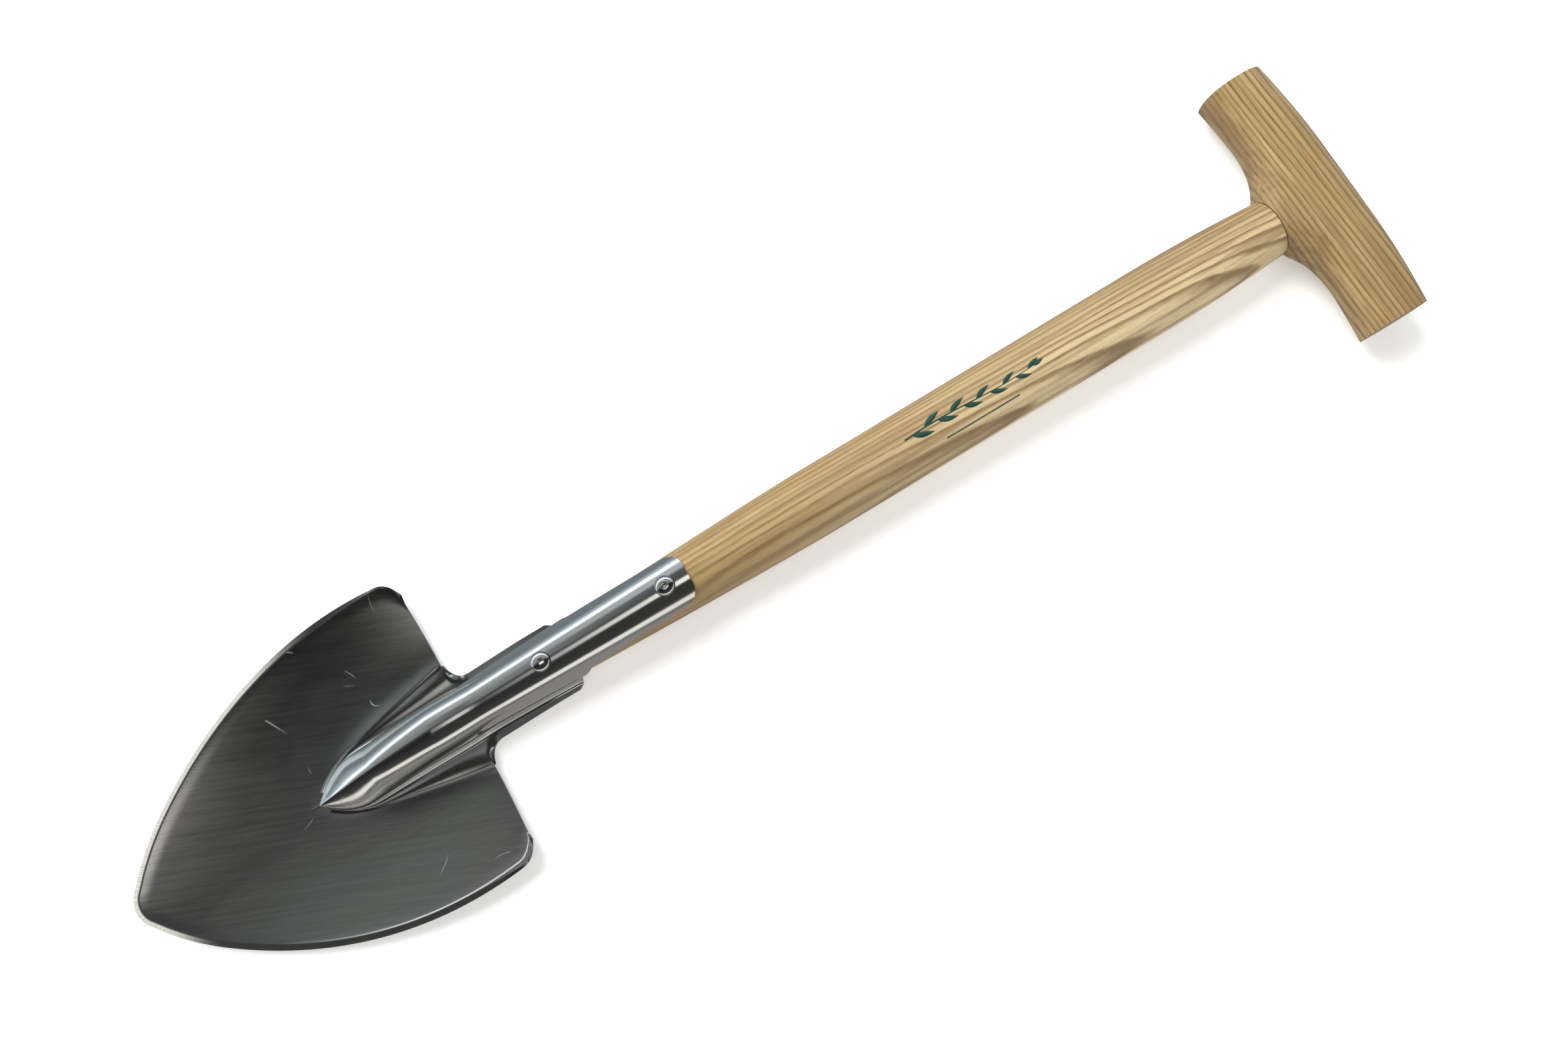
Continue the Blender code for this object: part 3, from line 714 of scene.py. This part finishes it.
def build_t_handle(ash):
    """The bar is lofted from end to end; its neck ends in a flat face at the joint."""
    mesh = bmesh.new()
    steps = 96
    stations = [mix(HANDLE_HALF_SPAN, HANDLE_FLARE_END_Y, k / 26) for k in range(26)]
    stations += [mix(HANDLE_FLARE_END_Y, JOINT_R, k / 24) for k in range(25)]
    stations += [JOINT_R * math.cos(math.pi / 2 * k / 22) for k in range(1, 22)]
    stations = stations + [0.0] + [-y for y in reversed(stations)]
    loops = []
    for y in stations:
        points = handle_section(y, steps)
        verts = [mesh.verts.new(p) for p in points[:-1]]
        closed = abs(y) >= JOINT_R
        loops.append(verts + [verts[0] if closed else mesh.verts.new(points[-1])])
    for loop, following in zip(loops, loops[1:]):
        for k in range(len(loop) - 1):
            corners = (loop[k], loop[k + 1], following[k + 1], following[k])
            mesh.faces.new(list(dict.fromkeys(corners)))
    for loop in (loops[0], loops[-1]):
        mesh.faces.new(loop[:-1])
    open_loops = [loop for loop in loops if loop[0] is not loop[-1]]
    top = [loop[0] for loop in open_loops]
    bottom = [loop[-1] for loop in reversed(open_loops)]
    ends = [loop[0] for loop, y in zip(loops, stations) if abs(abs(y) - JOINT_R) < 1e-6]
    mesh.faces.new([ends[0]] + top + [ends[1]] + bottom)
    handle = new_piece("cross_handle", mesh, ash, "t_handle")
    round_edges(handle, 0.9, 3, 50.0)


def build_rivets(steel, washer_steel):
    for where, x in RIVET_XS:
        seat = socket_radius(x) + GAP
        head = []
        steps = 16
        for k in range(steps + 1):
            angle = math.pi / 2 * k / steps
            radius = RIVET_HEAD_R * math.cos(angle)
            dimple = 0.0
            if where == "upper":
                dimple = 0.55 * math.exp(-((radius / 0.75) ** 2))
            head.append((seat + RIVET_HEAD_HEIGHT * math.sin(angle) - dimple, max(radius, 0.0)))
        head[-1] = (head[-1][0], 0.0)
        head = [(seat - 0.75, RIVET_HEAD_R - 0.1)] + head
        washer_top = washer_seat(x) - GAP
        washer_bottom = washer_top - WASHER_THICK
        tail_top = washer_bottom - GAP
        tail = tail_top - TAIL_HEIGHT
        profile = [(tail, 0.0), (tail, TAIL_R - 1.4), (tail + 0.15, TAIL_R - 0.9)]
        profile += [(tail + 0.5, TAIL_R - 0.3), (tail + 0.8, TAIL_R), (tail_top, TAIL_R)]
        profile += [(tail_top, RIVET_SHANK_R), (seat - 0.75, RIVET_SHANK_R)] + head
        rivet = new_piece("strap_rivet_" + where, turned(profile, x, SMALL_ROUND_STEPS), steel,
                          "rivet_" + where)
        rivet.data.set_sharp_from_angle(angle=math.radians(50.0))
        hole_r = RIVET_SHANK_R + GAP
        chamfer = 0.25
        ring = [(washer_bottom, hole_r), (washer_bottom, WASHER_R - chamfer)]
        ring += [(washer_bottom + chamfer, WASHER_R), (washer_top - chamfer, WASHER_R)]
        ring += [(washer_top, WASHER_R - chamfer), (washer_top, hole_r), ring[0]]
        mesh = turned(ring, x, SMALL_ROUND_STEPS)
        bmesh.ops.remove_doubles(mesh, verts=mesh.verts, dist=0.001)
        washer = new_piece("back_washer_" + where, mesh, washer_steel,
                           "rivet_washer_" + where)
        washer.data.set_sharp_from_angle(angle=math.radians(30.0))


# ---- the printed sprig on the shaft --------------------------------------------------
PRINT_START_X = 440.0
PRINT_END_X = 510.0
PRINT_RAISE = 0.04          # how far the ink stands on the wood


def on_shaft(x, across):
    """A point on the front of the shaft: across is measured round it from the top."""
    radius = shaft_radius(x) + PRINT_RAISE
    angle = across / radius
    return Vector((x, radius * math.sin(angle), radius * math.cos(angle)))


def ribbon(mesh, spine, half_widths):
    """A strip of ink along a spine of (x, across) points."""
    rows = []
    for k, (x, across) in enumerate(spine):
        before = spine[max(k - 1, 0)]
        after = spine[min(k + 1, len(spine) - 1)]
        run = math.dist(before, after)
        side = (-(after[1] - before[1]) / run, (after[0] - before[0]) / run)
        row = []
        for offset in (-half_widths[k], 0.0, half_widths[k]):
            spot = on_shaft(x + side[0] * offset, across + side[1] * offset)
            row.append(mesh.verts.new(spot))
        rows.append(row)
    for row, following in zip(rows, rows[1:]):
        mesh.faces.new((row[0], following[0], following[1], row[1]))
        mesh.faces.new((row[1], following[1], following[2], row[2]))


def leaf(mesh, x, across, heading, length, width):
    """One pointed leaf that grows from the stem at an angle."""
    steps = 12
    spine = []
    halves = []
    for k in range(steps + 1):
        t = k / steps
        bend = heading * (1.0 - 0.35 * t)
        spine.append((x + length * t * math.cos(bend), across + length * t * math.sin(bend)))
        halves.append(0.03 + width / 2 * math.sin(math.pi * t ** 0.8) ** 1.1)
    ribbon(mesh, spine, halves)


def stem_height(x):
    t = (x - PRINT_START_X) / (PRINT_END_X - PRINT_START_X)
    return 0.9 * math.sin(1.7 * math.pi * t + 0.4)


def build_print(ink):
    mesh = bmesh.new()
    steps = 70
    spine = []
    for k in range(steps + 1):
        x = mix(PRINT_START_X, PRINT_END_X, k / steps)
        spine.append((x, stem_height(x)))
    ribbon(mesh, spine, [mix(0.45, 0.18, k / steps) for k in range(steps + 1)])
    leaves = 10
    for k in range(leaves):
        t = (k + 0.6) / leaves
        x = mix(PRINT_START_X, PRINT_END_X, t)
        side = 1.0 if k % 2 else -1.0
        leaf(mesh, x, stem_height(x), side * math.radians(29.0), mix(11.5, 7.5, t), mix(2.9, 2.0, t))
    leaf(mesh, PRINT_END_X, stem_height(PRINT_END_X), math.radians(8.0), 6.0, 2.1)
    rule = [(mix(458.0, 498.0, k / 20), -9.2) for k in range(21)]
    ribbon(mesh, rule, [0.32] * 21)
    ink_piece = new_piece("leaf_print", mesh, ink, None)
    solidify = ink_piece.modifiers.new("ink_film", "SOLIDIFY")
    solidify.thickness = 0.00012
    solidify.offset = -1.0


# ---- materials -----------------------------------------------------------------------
class Shader:
    """A small helper that adds nodes to a new material and links them."""

    def __init__(self, name):
        self.material = bpy.data.materials.new(name)
        self.material.use_nodes = True
        self.tree = self.material.node_tree
        self.surface = self.tree.nodes["Principled BSDF"]
        self.place = self.tree.nodes.new("ShaderNodeTexCoord").outputs["Object"]

    def put(self, socket, value):
        if isinstance(value, bpy.types.NodeSocket):
            self.tree.links.new(value, socket)
        elif value is not None:
            socket.default_value = value

    def maths(self, operation, a, b=None, c=None, limit=False):
        node = self.tree.nodes.new("ShaderNodeMath")
        node.operation = operation
        node.use_clamp = limit
        for socket, value in zip(node.inputs, (a, b, c)):
            self.put(socket, value)
        return node.outputs[0]

    def times(self, a, b):
        return self.maths("MULTIPLY", a, b)

    def stretch(self, scale, offset=(0.0, 0.0, 0.0), turn=(0.0, 0.0, 0.0)):
        """The piece's own coordinates, turned, then scaled to cycles per metre along each axis."""
        turner = self.tree.nodes.new("ShaderNodeMapping")
        self.put(turner.inputs["Vector"], self.place)
        turner.inputs["Rotation"].default_value = turn
        node = self.tree.nodes.new("ShaderNodeMapping")
        self.put(node.inputs["Vector"], turner.outputs[0])
        node.inputs["Scale"].default_value = scale
        node.inputs["Location"].default_value = offset
        return node.outputs[0]

    def noise(self, vector, detail=3.0, roughness=0.5, distortion=0.0, scale=1.0):
        node = self.tree.nodes.new("ShaderNodeTexNoise")
        self.put(node.inputs["Vector"], vector)
        node.inputs["Scale"].default_value = scale
        node.inputs["Detail"].default_value = detail
        node.inputs["Roughness"].default_value = roughness
        node.inputs["Distortion"].default_value = distortion
        return node.outputs["Fac"]

    def spread(self, value, low, high, to_low=0.0, to_high=1.0, curve="SMOOTHSTEP"):
        node = self.tree.nodes.new("ShaderNodeMapRange")
        node.interpolation_type = curve
        for socket, given in zip(node.inputs, (value, low, high, to_low, to_high)):
            self.put(socket, given)
        return node.outputs[0]

    def blend(self, factor, a, b, mode="MIX"):
        node = self.tree.nodes.new("ShaderNodeMix")
        node.data_type = "RGBA"
        node.blend_type = mode
        self.put(node.inputs["Factor"], factor)
        self.put(node.inputs["A"], (*a, 1.0) if isinstance(a, tuple) else a)
        self.put(node.inputs["B"], (*b, 1.0) if isinstance(b, tuple) else b)
        return node.outputs["Result"]

    def attribute(self, name):
        node = self.tree.nodes.new("ShaderNodeAttribute")
        node.attribute_name = name
        return node.outputs["Fac"]

    def bump(self, height, strength, distance):
        node = self.tree.nodes.new("ShaderNodeBump")
        node.inputs["Strength"].default_value = strength
        node.inputs["Distance"].default_value = distance
        self.put(node.inputs["Height"], height)
        self.put(self.surface.inputs["Normal"], node.outputs[0])

    def set(self, name, value):
        self.put(self.surface.inputs[name], value)


def blade_steel():
    """Brushed on the blade, polished on the socket, ground along the cutting edge, with a painted
    highlight and painted shade on the ground bevel and a painted highlight line on its arris.
    """
    steel = Shader("brushed_and_polished_steel")
    polish = steel.attribute("polish")
    distance = steel.attribute("edge_distance")
    run = steel.attribute("edge_run")
    oblique = (0.0, 0.0, math.radians(22.0))
    brushing = steel.noise(steel.stretch((55.0, 2600.0, 60.0), turn=oblique), 2.0, 0.6)
    streaks = steel.noise(steel.stretch((22.0, 560.0, 60.0), turn=oblique), 4.0, 0.65)
    long_lines = steel.noise(steel.stretch((16.0, 620.0, 240.0)), 4.0, 0.6)
    patches = steel.noise(steel.stretch((16.0, 30.0, 30.0)), 3.0, 0.55, 0.6)
    winding = steel.noise(steel.stretch((17.0, 17.0, 17.0), (1.3, 4.1, 0.0)), 1.0, 0.4, 0.8)
    hairline = steel.spread(steel.maths("ABSOLUTE", steel.maths("SUBTRACT", winding, 0.5)), 0.0024, 0.0008)
    broken = steel.spread(steel.noise(steel.stretch((42.0, 42.0, 42.0), (2.0, 7.0, 0.0)), 1.0), 0.60, 0.66)
    on_blade = steel.spread(polish, 0.2, 0.0)
    scratch = steel.times(hairline, steel.times(broken, on_blade))
    tint = steel.noise(steel.stretch((9.0, 12.0, 12.0), (3.0, 1.0, 0.0)), 2.0)

    grinding = steel.tree.nodes.new("ShaderNodeTexNoise")
    grinding.noise_dimensions = "1D"
    steel.put(grinding.inputs["W"], run)
    grinding.inputs["Scale"].default_value = 3.2
    grinding.inputs["Detail"].default_value = 3.0
    ground = steel.spread(distance, 3.4, 2.6)
    ground = steel.times(ground, steel.spread(steel.maths("ABSOLUTE", run), 216.0, 192.0))

    green_or_brown = steel.blend(steel.spread(tint, 0.35, 0.65), (0.33, 0.345, 0.33), (0.33, 0.308, 0.308))
    line_share = steel.spread(long_lines, 0.35, 0.75, 0.0, 0.25)
    brushed = steel.blend(line_share, green_or_brown, (0.44, 0.45, 0.44))
    brushed = steel.blend(steel.spread(streaks, 0.30, 0.70, 0.0, 0.5), brushed, (0.46, 0.47, 0.455))
    brushed = steel.blend(scratch, brushed, (1.0, 1.0, 0.98))
    colour = steel.blend(polish, brushed, (0.70, 0.71, 0.71))
    # Painted highlight and painted shade on the ground bevel: bright over the tip and along most of the +y
    # side, dark grey elsewhere; only the grinding cross lines in it are real marks.
    painted_bevel_highlight = steel.times(steel.spread(run, -48.0, -18.0), steel.spread(run, 175.0, 120.0))
    cross_lines = steel.spread(grinding.outputs["Fac"], 0.38, 0.60)
    painted_bevel_highlight = steel.times(painted_bevel_highlight, steel.spread(distance, 2.7, 1.9))
    grinding_marks_and_highlight = steel.blend(cross_lines, (0.42, 0.405, 0.37), (0.93, 0.90, 0.82))
    bevel_painted_light_colour = steel.blend(painted_bevel_highlight, (0.20, 0.20, 0.195), grinding_marks_and_highlight)
    colour = steel.blend(ground, colour, bevel_painted_light_colour)
    # Painted highlight: a thin bright line along the arris of the bevel, on the -y side away from the tip.
    arris = steel.times(steel.spread(distance, 4.1, 3.5), steel.spread(distance, 2.9, 3.3))
    arris = steel.times(arris, steel.spread(run, -70.0, -160.0))
    colour = steel.blend(steel.times(arris, 0.6), colour, (0.80, 0.80, 0.76))
    steel.set("Base Color", colour)
    # Under the painted highlights the steel is made far less metallic, so that they show as bright colour.
    painted_highlight_share = steel.times(ground, painted_bevel_highlight)
    painted_highlight_share = steel.maths("MAXIMUM", painted_highlight_share, arris)
    steel.set("Metallic", steel.spread(painted_highlight_share, 0.0, 1.0, 1.0, 0.30, "LINEAR"))

    rough_brushed = steel.spread(patches, 0.3, 0.7, 0.15, 0.20)
    rough_brushed = steel.maths("MULTIPLY_ADD", streaks, 0.06, rough_brushed)
    rough_brushed = steel.maths("MULTIPLY_ADD", scratch, 0.45, rough_brushed)
    rough_polished = steel.spread(long_lines, 0.3, 0.7, 0.08, 0.16)
    rough = steel.spread(polish, 0.0, 1.0, rough_brushed, rough_polished, "LINEAR")
    rough_ground = steel.spread(painted_bevel_highlight, 0.0, 1.0, 0.34, 0.60)
    rough = steel.spread(ground, 0.0, 1.0, rough, rough_ground, "LINEAR")
    steel.set("Roughness", rough)

    fine = steel.times(brushing, steel.spread(polish, 0.0, 1.0, 1.0, 0.10, "LINEAR"))
    marks = steel.times(grinding.outputs["Fac"], steel.times(ground, 2.2))
    waves = steel.times(long_lines, 0.10)
    height = steel.maths("ADD", steel.maths("ADD", fine, marks), waves)
    steel.bump(height, 0.30, 0.00006)
    return steel.material


def ash_wood(name, grain_along_x):
    """Straight-grained ash: wandering growth rings, open pores and a satin lacquer."""
    wood = Shader(name)
    if grain_along_x:
        pith = (0.085, -0.030)
        ring_width = 3.0
        ring_depth = 0.80
        pale_from, pale_to = -0.02, 0.20
    else:
        pith = (-0.150, -0.035)
        ring_width = 2.6
        ring_depth = 1.0
        pale_from, pale_to = 0.5, 1.0

    def grain(along, across):
        """Cycles per metre along the grain and across it, in the piece's axes."""
        return (along, across, across) if grain_along_x else (across, along, across)

    split = wood.tree.nodes.new("ShaderNodeSeparateXYZ")
    wood.put(split.inputs[0], wood.place)
    if grain_along_x:
        length, side, up = split.outputs[0], split.outputs[1], split.outputs[2]
    else:
        length, side, up = split.outputs[1], split.outputs[0], split.outputs[2]
        side = wood.maths("SUBTRACT", side, (HANDLE_LOW[0] + HANDLE_HIGH[0]) / 2)
    wander = wood.noise(wood.stretch(grain(4.0, 34.0), (0.3, 0.1, 0.2)), 2.0, 0.5)
    wander = wood.maths("MULTIPLY_ADD", wander, 0.016, -0.008)
    lean = wood.times(length, 0.030)
    across = wood.maths("ADD", wood.maths("ADD", side, -pith[0]), lean)
    deep = wood.maths("ADD", wood.maths("ADD", up, -pith[1]), wander)
    squared = wood.maths("ADD", wood.times(across, across), wood.times(deep, deep))
    radius = wood.maths("SQRT", squared)
    fine_wander = wood.noise(wood.stretch(grain(14.0, 150.0)), 2.0)
    radius = wood.maths("MULTIPLY_ADD", fine_wander, 0.0016, radius)
    phase = wood.maths("FRACT", wood.times(radius, 1000 / ring_width))
    early = wood.times(wood.spread(phase, 0.0, 0.16), wood.spread(phase, 0.62, 0.22))

    pores = wood.noise(wood.stretch(grain(95.0, 2300.0)), 2.0, 0.6)
    pores = wood.spread(pores, 0.54, 0.66)
    pores = wood.times(pores, wood.spread(early, 0.0, 1.0, 0.22, 1.0, "LINEAR"))
    fibres = wood.noise(wood.stretch(grain(22.0, 900.0)), 3.0, 0.6)
    broad = wood.noise(wood.stretch(grain(2.5, 26.0), (5.0, 2.0, 1.0)), 2.0)

    light = wood.blend(wood.spread(broad, 0.35, 0.65), (0.43, 0.300, 0.128), (0.345, 0.228, 0.090))
    # Painted light: the shaft is painted paler from its middle towards the handle, most strongly on its -y
    # side.
    painted_pale_light = wood.spread(length, pale_from, pale_to, 0.0, 1.0)
    painted_pale_light = wood.times(painted_pale_light, wood.spread(side, 0.012, -0.010, 0.12, 1.0))
    light = wood.blend(painted_pale_light, light, (0.86, 0.69, 0.41))
    # Painted shade: the +y side of the shaft near the handle is darkened.
    painted_side_shade = wood.times(wood.spread(length, 0.15, 0.27), wood.spread(side, 0.004, 0.014))
    light = wood.blend(wood.times(painted_side_shade, 0.5), light, (0.28, 0.18, 0.08))
    colour = wood.blend(wood.times(early, ring_depth), light, (0.205, 0.112, 0.040))
    colour = wood.blend(wood.spread(fibres, 0.35, 0.7, 0.0, 0.35), colour, (0.50, 0.36, 0.175))
    colour = wood.blend(wood.times(pores, 0.9), colour, (0.19, 0.10, 0.045))
    streaks = wood.noise(wood.stretch(grain(6.0, 230.0), (2.0, 3.0, 0.5)), 4.0, 0.6)
    colour = wood.blend(wood.spread(streaks, 0.44, 0.64, 0.0, 0.60), colour, (0.25, 0.15, 0.060))
    colour = wood.blend(wood.spread(streaks, 0.42, 0.28, 0.0, 0.45), colour, (0.66, 0.51, 0.28))
    wood.set("Base Color", colour)
    wood.set("Roughness", wood.spread(fibres, 0.3, 0.7, 0.36, 0.46))
    wood.set("Coat Weight", 0.25)
    wood.set("Coat Roughness", 0.22)
    height = wood.maths("SUBTRACT", wood.times(fibres, 0.35), pores)
    wood.bump(height, 0.35, 0.00012)
    return wood.material


def rivet_steel():
    steel = Shader("mirror_steel")
    scuffs = steel.noise(steel.stretch((900.0, 900.0, 900.0)), 3.0, 0.6)
    bright = steel.blend(steel.spread(scuffs, 0.3, 0.7), (0.70, 0.71, 0.72), (0.78, 0.785, 0.79))
    split = steel.tree.nodes.new("ShaderNodeSeparateXYZ")
    coordinates = steel.tree.nodes.new("ShaderNodeTexCoord")
    steel.put(split.inputs[0], coordinates.outputs["Normal"])
    # Painted shade: the dome's colour darkens to near black towards its steep rim, by the direction its
    # surface faces; the top keeps the bright steel colour.
    painted_rim_shade_fade = steel.spread(split.outputs[2], 0.25, 0.80)
    steel.set("Base Color", steel.blend(painted_rim_shade_fade, (0.07, 0.07, 0.068), bright))
    steel.set("Metallic", 1.0)
    steel.set("Roughness", steel.spread(scuffs, 0.3, 0.7, 0.06, 0.11))
    steel.bump(scuffs, 0.06, 0.00005)
    return steel.material


def washer_metal():
    steel = Shader("plain_washer_steel")
    stains = steel.noise(steel.stretch((260.0, 260.0, 260.0)), 4.0, 0.6)
    stained = steel.spread(stains, 0.3, 0.7)
    steel.set("Base Color", steel.blend(stained, (0.46, 0.46, 0.45), (0.58, 0.575, 0.56)))
    steel.set("Metallic", 1.0)
    steel.set("Roughness", steel.spread(stains, 0.3, 0.7, 0.30, 0.42))
    steel.bump(stains, 0.15, 0.00008)
    return steel.material


def green_ink():
    ink = Shader("dark_green_ink")
    worn = ink.noise(ink.stretch((260.0, 1900.0, 1900.0)), 3.0, 0.65)
    faded = ink.spread(worn, 0.52, 0.78)
    ink.set("Base Color", ink.blend(faded, (0.012, 0.055, 0.042), (0.075, 0.115, 0.075)))
    ink.set("Roughness", ink.spread(worn, 0.3, 0.7, 0.38, 0.5))
    ink.bump(worn, 0.1, 0.00005)
    return ink.material


def floor_paint():
    paint = Shader("pale_floor")
    mottle = paint.noise(paint.stretch((6.0, 6.0, 6.0)), 3.0)
    paint.set("Base Color", paint.blend(mottle, (0.90, 0.90, 0.90), (0.92, 0.92, 0.92)))
    paint.set("Roughness", 0.8)
    paint.set("Emission Color", (1.0, 1.0, 1.0, 1.0))
    paint.set("Emission Strength", 0.35)
    return paint.material


# ---- stage, light and camera -----------------------------------------------------------
FLOOR_HALF_SIZE = 4.0        # metres
FLOOR_GAP = 0.0003           # metres, so that the floor and the spade never share a face


def build_floor():
    half = FLOOR_HALF_SIZE
    level = FLOOR_Z - FLOOR_GAP
    mesh = bmesh.new()
    spots = ((-half, -half, level), (half, -half, level), (half, half, level), (-half, half, level))
    mesh.faces.new([mesh.verts.new(spot) for spot in spots])
    floor = mesh_object("floor", mesh)
    floor.data.materials.append(floor_paint())
    floor.visible_glossy = False


def ramp(tree, value, stops):
    """A colour ramp from (position, colour) stops, with smooth passages."""
    node = tree.nodes.new("ShaderNodeValToRGB")
    node.color_ramp.interpolation = "EASE"
    elements = node.color_ramp.elements
    while len(elements) < len(stops):
        elements.new(0.5)
    for element, (position, colour) in zip(elements, stops):
        element.position = position
        element.color = (*colour, 1.0)
    tree.links.new(value, node.inputs["Fac"])
    return node.outputs["Color"]


def world_maths(tree, operation, a, b=None, c=None):
    node = tree.nodes.new("ShaderNodeMath")
    node.operation = operation
    for socket, value in zip(node.inputs, (a, b, c)):
        if isinstance(value, bpy.types.NodeSocket):
            tree.links.new(value, socket)
        elif value is not None:
            socket.default_value = value
    return node.outputs[0]


def world_spread(tree, value, low, high):
    """0 at low to 1 at high, with smooth ends."""
    node = tree.nodes.new("ShaderNodeMapRange")
    node.interpolation_type = "SMOOTHSTEP"
    tree.links.new(value, node.inputs["Value"])
    node.inputs["From Min"].default_value = low
    node.inputs["From Max"].default_value = high
    return node.outputs[0]


def tilt(degrees):
    """Where a direction stands on the room's ramp: -90 degrees is the -Y horizon, 0 is overhead."""
    return degrees / 180.0 + 0.5


STRIP_LAMPS = (
    (tilt(-50), (0.045, 0.044, 0.042)),
    (tilt(-14), (0.045, 0.044, 0.042)),
    (tilt(-8), (1.30, 1.28, 1.20)),
    (tilt(-1), (1.30, 1.28, 1.20)),
    (tilt(5), (0.08, 0.085, 0.085)),
    (tilt(28), (0.10, 0.11, 0.11)),
    (tilt(38), (0.55, 0.58, 0.58)),
    (tilt(48), (0.55, 0.58, 0.58)),
)
WALLS = (
    (tilt(-88), (0.30, 0.29, 0.27)),
    (tilt(-76), (0.16, 0.155, 0.145)),
    (tilt(-70), (1.10, 1.07, 0.98)),
    (tilt(-62), (1.10, 1.07, 0.98)),
    (tilt(-54), (0.05, 0.049, 0.047)),
    (tilt(-6), (0.022, 0.022, 0.024)),
    (tilt(4), (0.045, 0.045, 0.046)),
    (tilt(17), (0.27, 0.285, 0.275)),
    (tilt(40), (0.34, 0.36, 0.35)),
    (tilt(52), (0.42, 0.45, 0.46)),
    (tilt(58), (1.90, 2.10, 2.20)),
    (tilt(63), (1.70, 1.95, 2.10)),
    (tilt(72), (0.50, 0.58, 0.64)),
    (tilt(88), (0.22, 0.25, 0.27)),
)


def build_room_light():
    """A dim room with long strip lamps over the shaft and a bright window side at +Y."""
    world = bpy.data.worlds.new("room")
    world.use_nodes = True
    bpy.context.scene.world = world
    tree = world.node_tree
    coordinates = tree.nodes.new("ShaderNodeTexCoord")
    split = tree.nodes.new("ShaderNodeSeparateXYZ")
    tree.links.new(coordinates.outputs["Generated"], split.inputs[0])
    lean = world_maths(tree, "ARCTAN2", split.outputs["Y"], split.outputs["Z"])
    place_on_ramp = world_maths(tree, "MULTIPLY_ADD", lean, 1.0 / math.pi, 0.5)
    walls = ramp(tree, place_on_ramp, WALLS)
    lamps = ramp(tree, place_on_ramp, STRIP_LAMPS)
    near_end = world_spread(tree, split.outputs["X"], -0.40, -0.14)
    far_end = world_spread(tree, split.outputs["X"], 0.40, 0.12)
    inside = world_maths(tree, "LESS_THAN", world_maths(tree, "ABSOLUTE", lean), math.radians(50.0))
    inside = world_maths(tree, "MULTIPLY", inside, far_end)
    room = tree.nodes.new("ShaderNodeMix")
    room.data_type = "RGBA"
    tree.links.new(world_maths(tree, "MULTIPLY", near_end, inside), room.inputs["Factor"])
    tree.links.new(walls, room.inputs["A"])
    tree.links.new(lamps, room.inputs["B"])
    background = tree.nodes["Background"]
    tree.links.new(room.outputs["Result"], background.inputs["Color"])
    background.inputs["Strength"].default_value = 1.0


def add_light(name, spot, target, size, power, colour):
    data = bpy.data.lights.new(name, "AREA")
    data.shape = "RECTANGLE"
    data.size, data.size_y = size
    data.energy = power
    data.color = colour
    light = bpy.data.objects.new(name, data)
    light.location = spot
    light.rotation_euler = (Vector(target) - Vector(spot)).to_track_quat("-Z", "Y").to_euler()
    light.visible_glossy = False
    bpy.context.collection.objects.link(light)


def build_lights():
    """Soft boxes that light the wood and the floor; the steel shows the room instead."""
    add_light("key_softbox", (-0.3, 1.5, 1.9), (0.0, 0.0, 0.0), (1.6, 1.6), 66.0, (0.99, 0.995, 1.0))
    add_light("fill_softbox", (0.6, -0.9, 2.4), (0.0, 0.0, 0.0), (2.6, 2.6), 22.0, (1.0, 0.99, 0.97))


def build_camera():
    """Almost straight above the tool, turned so that the shaft climbs to the right."""
    spot = place(370.65, -87.0, 567.0)
    target = place(370.53, -2.27, 0.0)
    roll = math.radians(31.06)
    forward = (target - spot).normalized()
    level = (Vector((1.0, 0.0, 0.0)) - forward * forward.x).normalized()
    upward = level.cross(forward)
    right = level * math.cos(roll) - upward * math.sin(roll)
    upward = level * math.sin(roll) + upward * math.cos(roll)
    data = bpy.data.cameras.new("camera")
    data.sensor_width = 36.0
    data.lens = 27.108
    data.clip_start = 0.01
    camera = bpy.data.objects.new("camera", data)
    matrix = camera.matrix_world.to_3x3()
    for row in range(3):
        matrix[row] = (right[row], upward[row], -forward[row])
    camera.matrix_world = matrix.to_4x4()
    camera.location = spot
    bpy.context.collection.objects.link(camera)
    bpy.context.scene.camera = camera


def build():
    build_camera()
    build_floor()
    build_room_light()
    build_lights()
    build_blade(blade_steel())
    build_shaft(ash_wood("ash_along_shaft", True))
    build_t_handle(ash_wood("ash_along_bar", False))
    build_rivets(rivet_steel(), washer_metal())
    build_print(green_ink())
    bpy.context.scene.view_settings.view_transform = "Standard"


build()
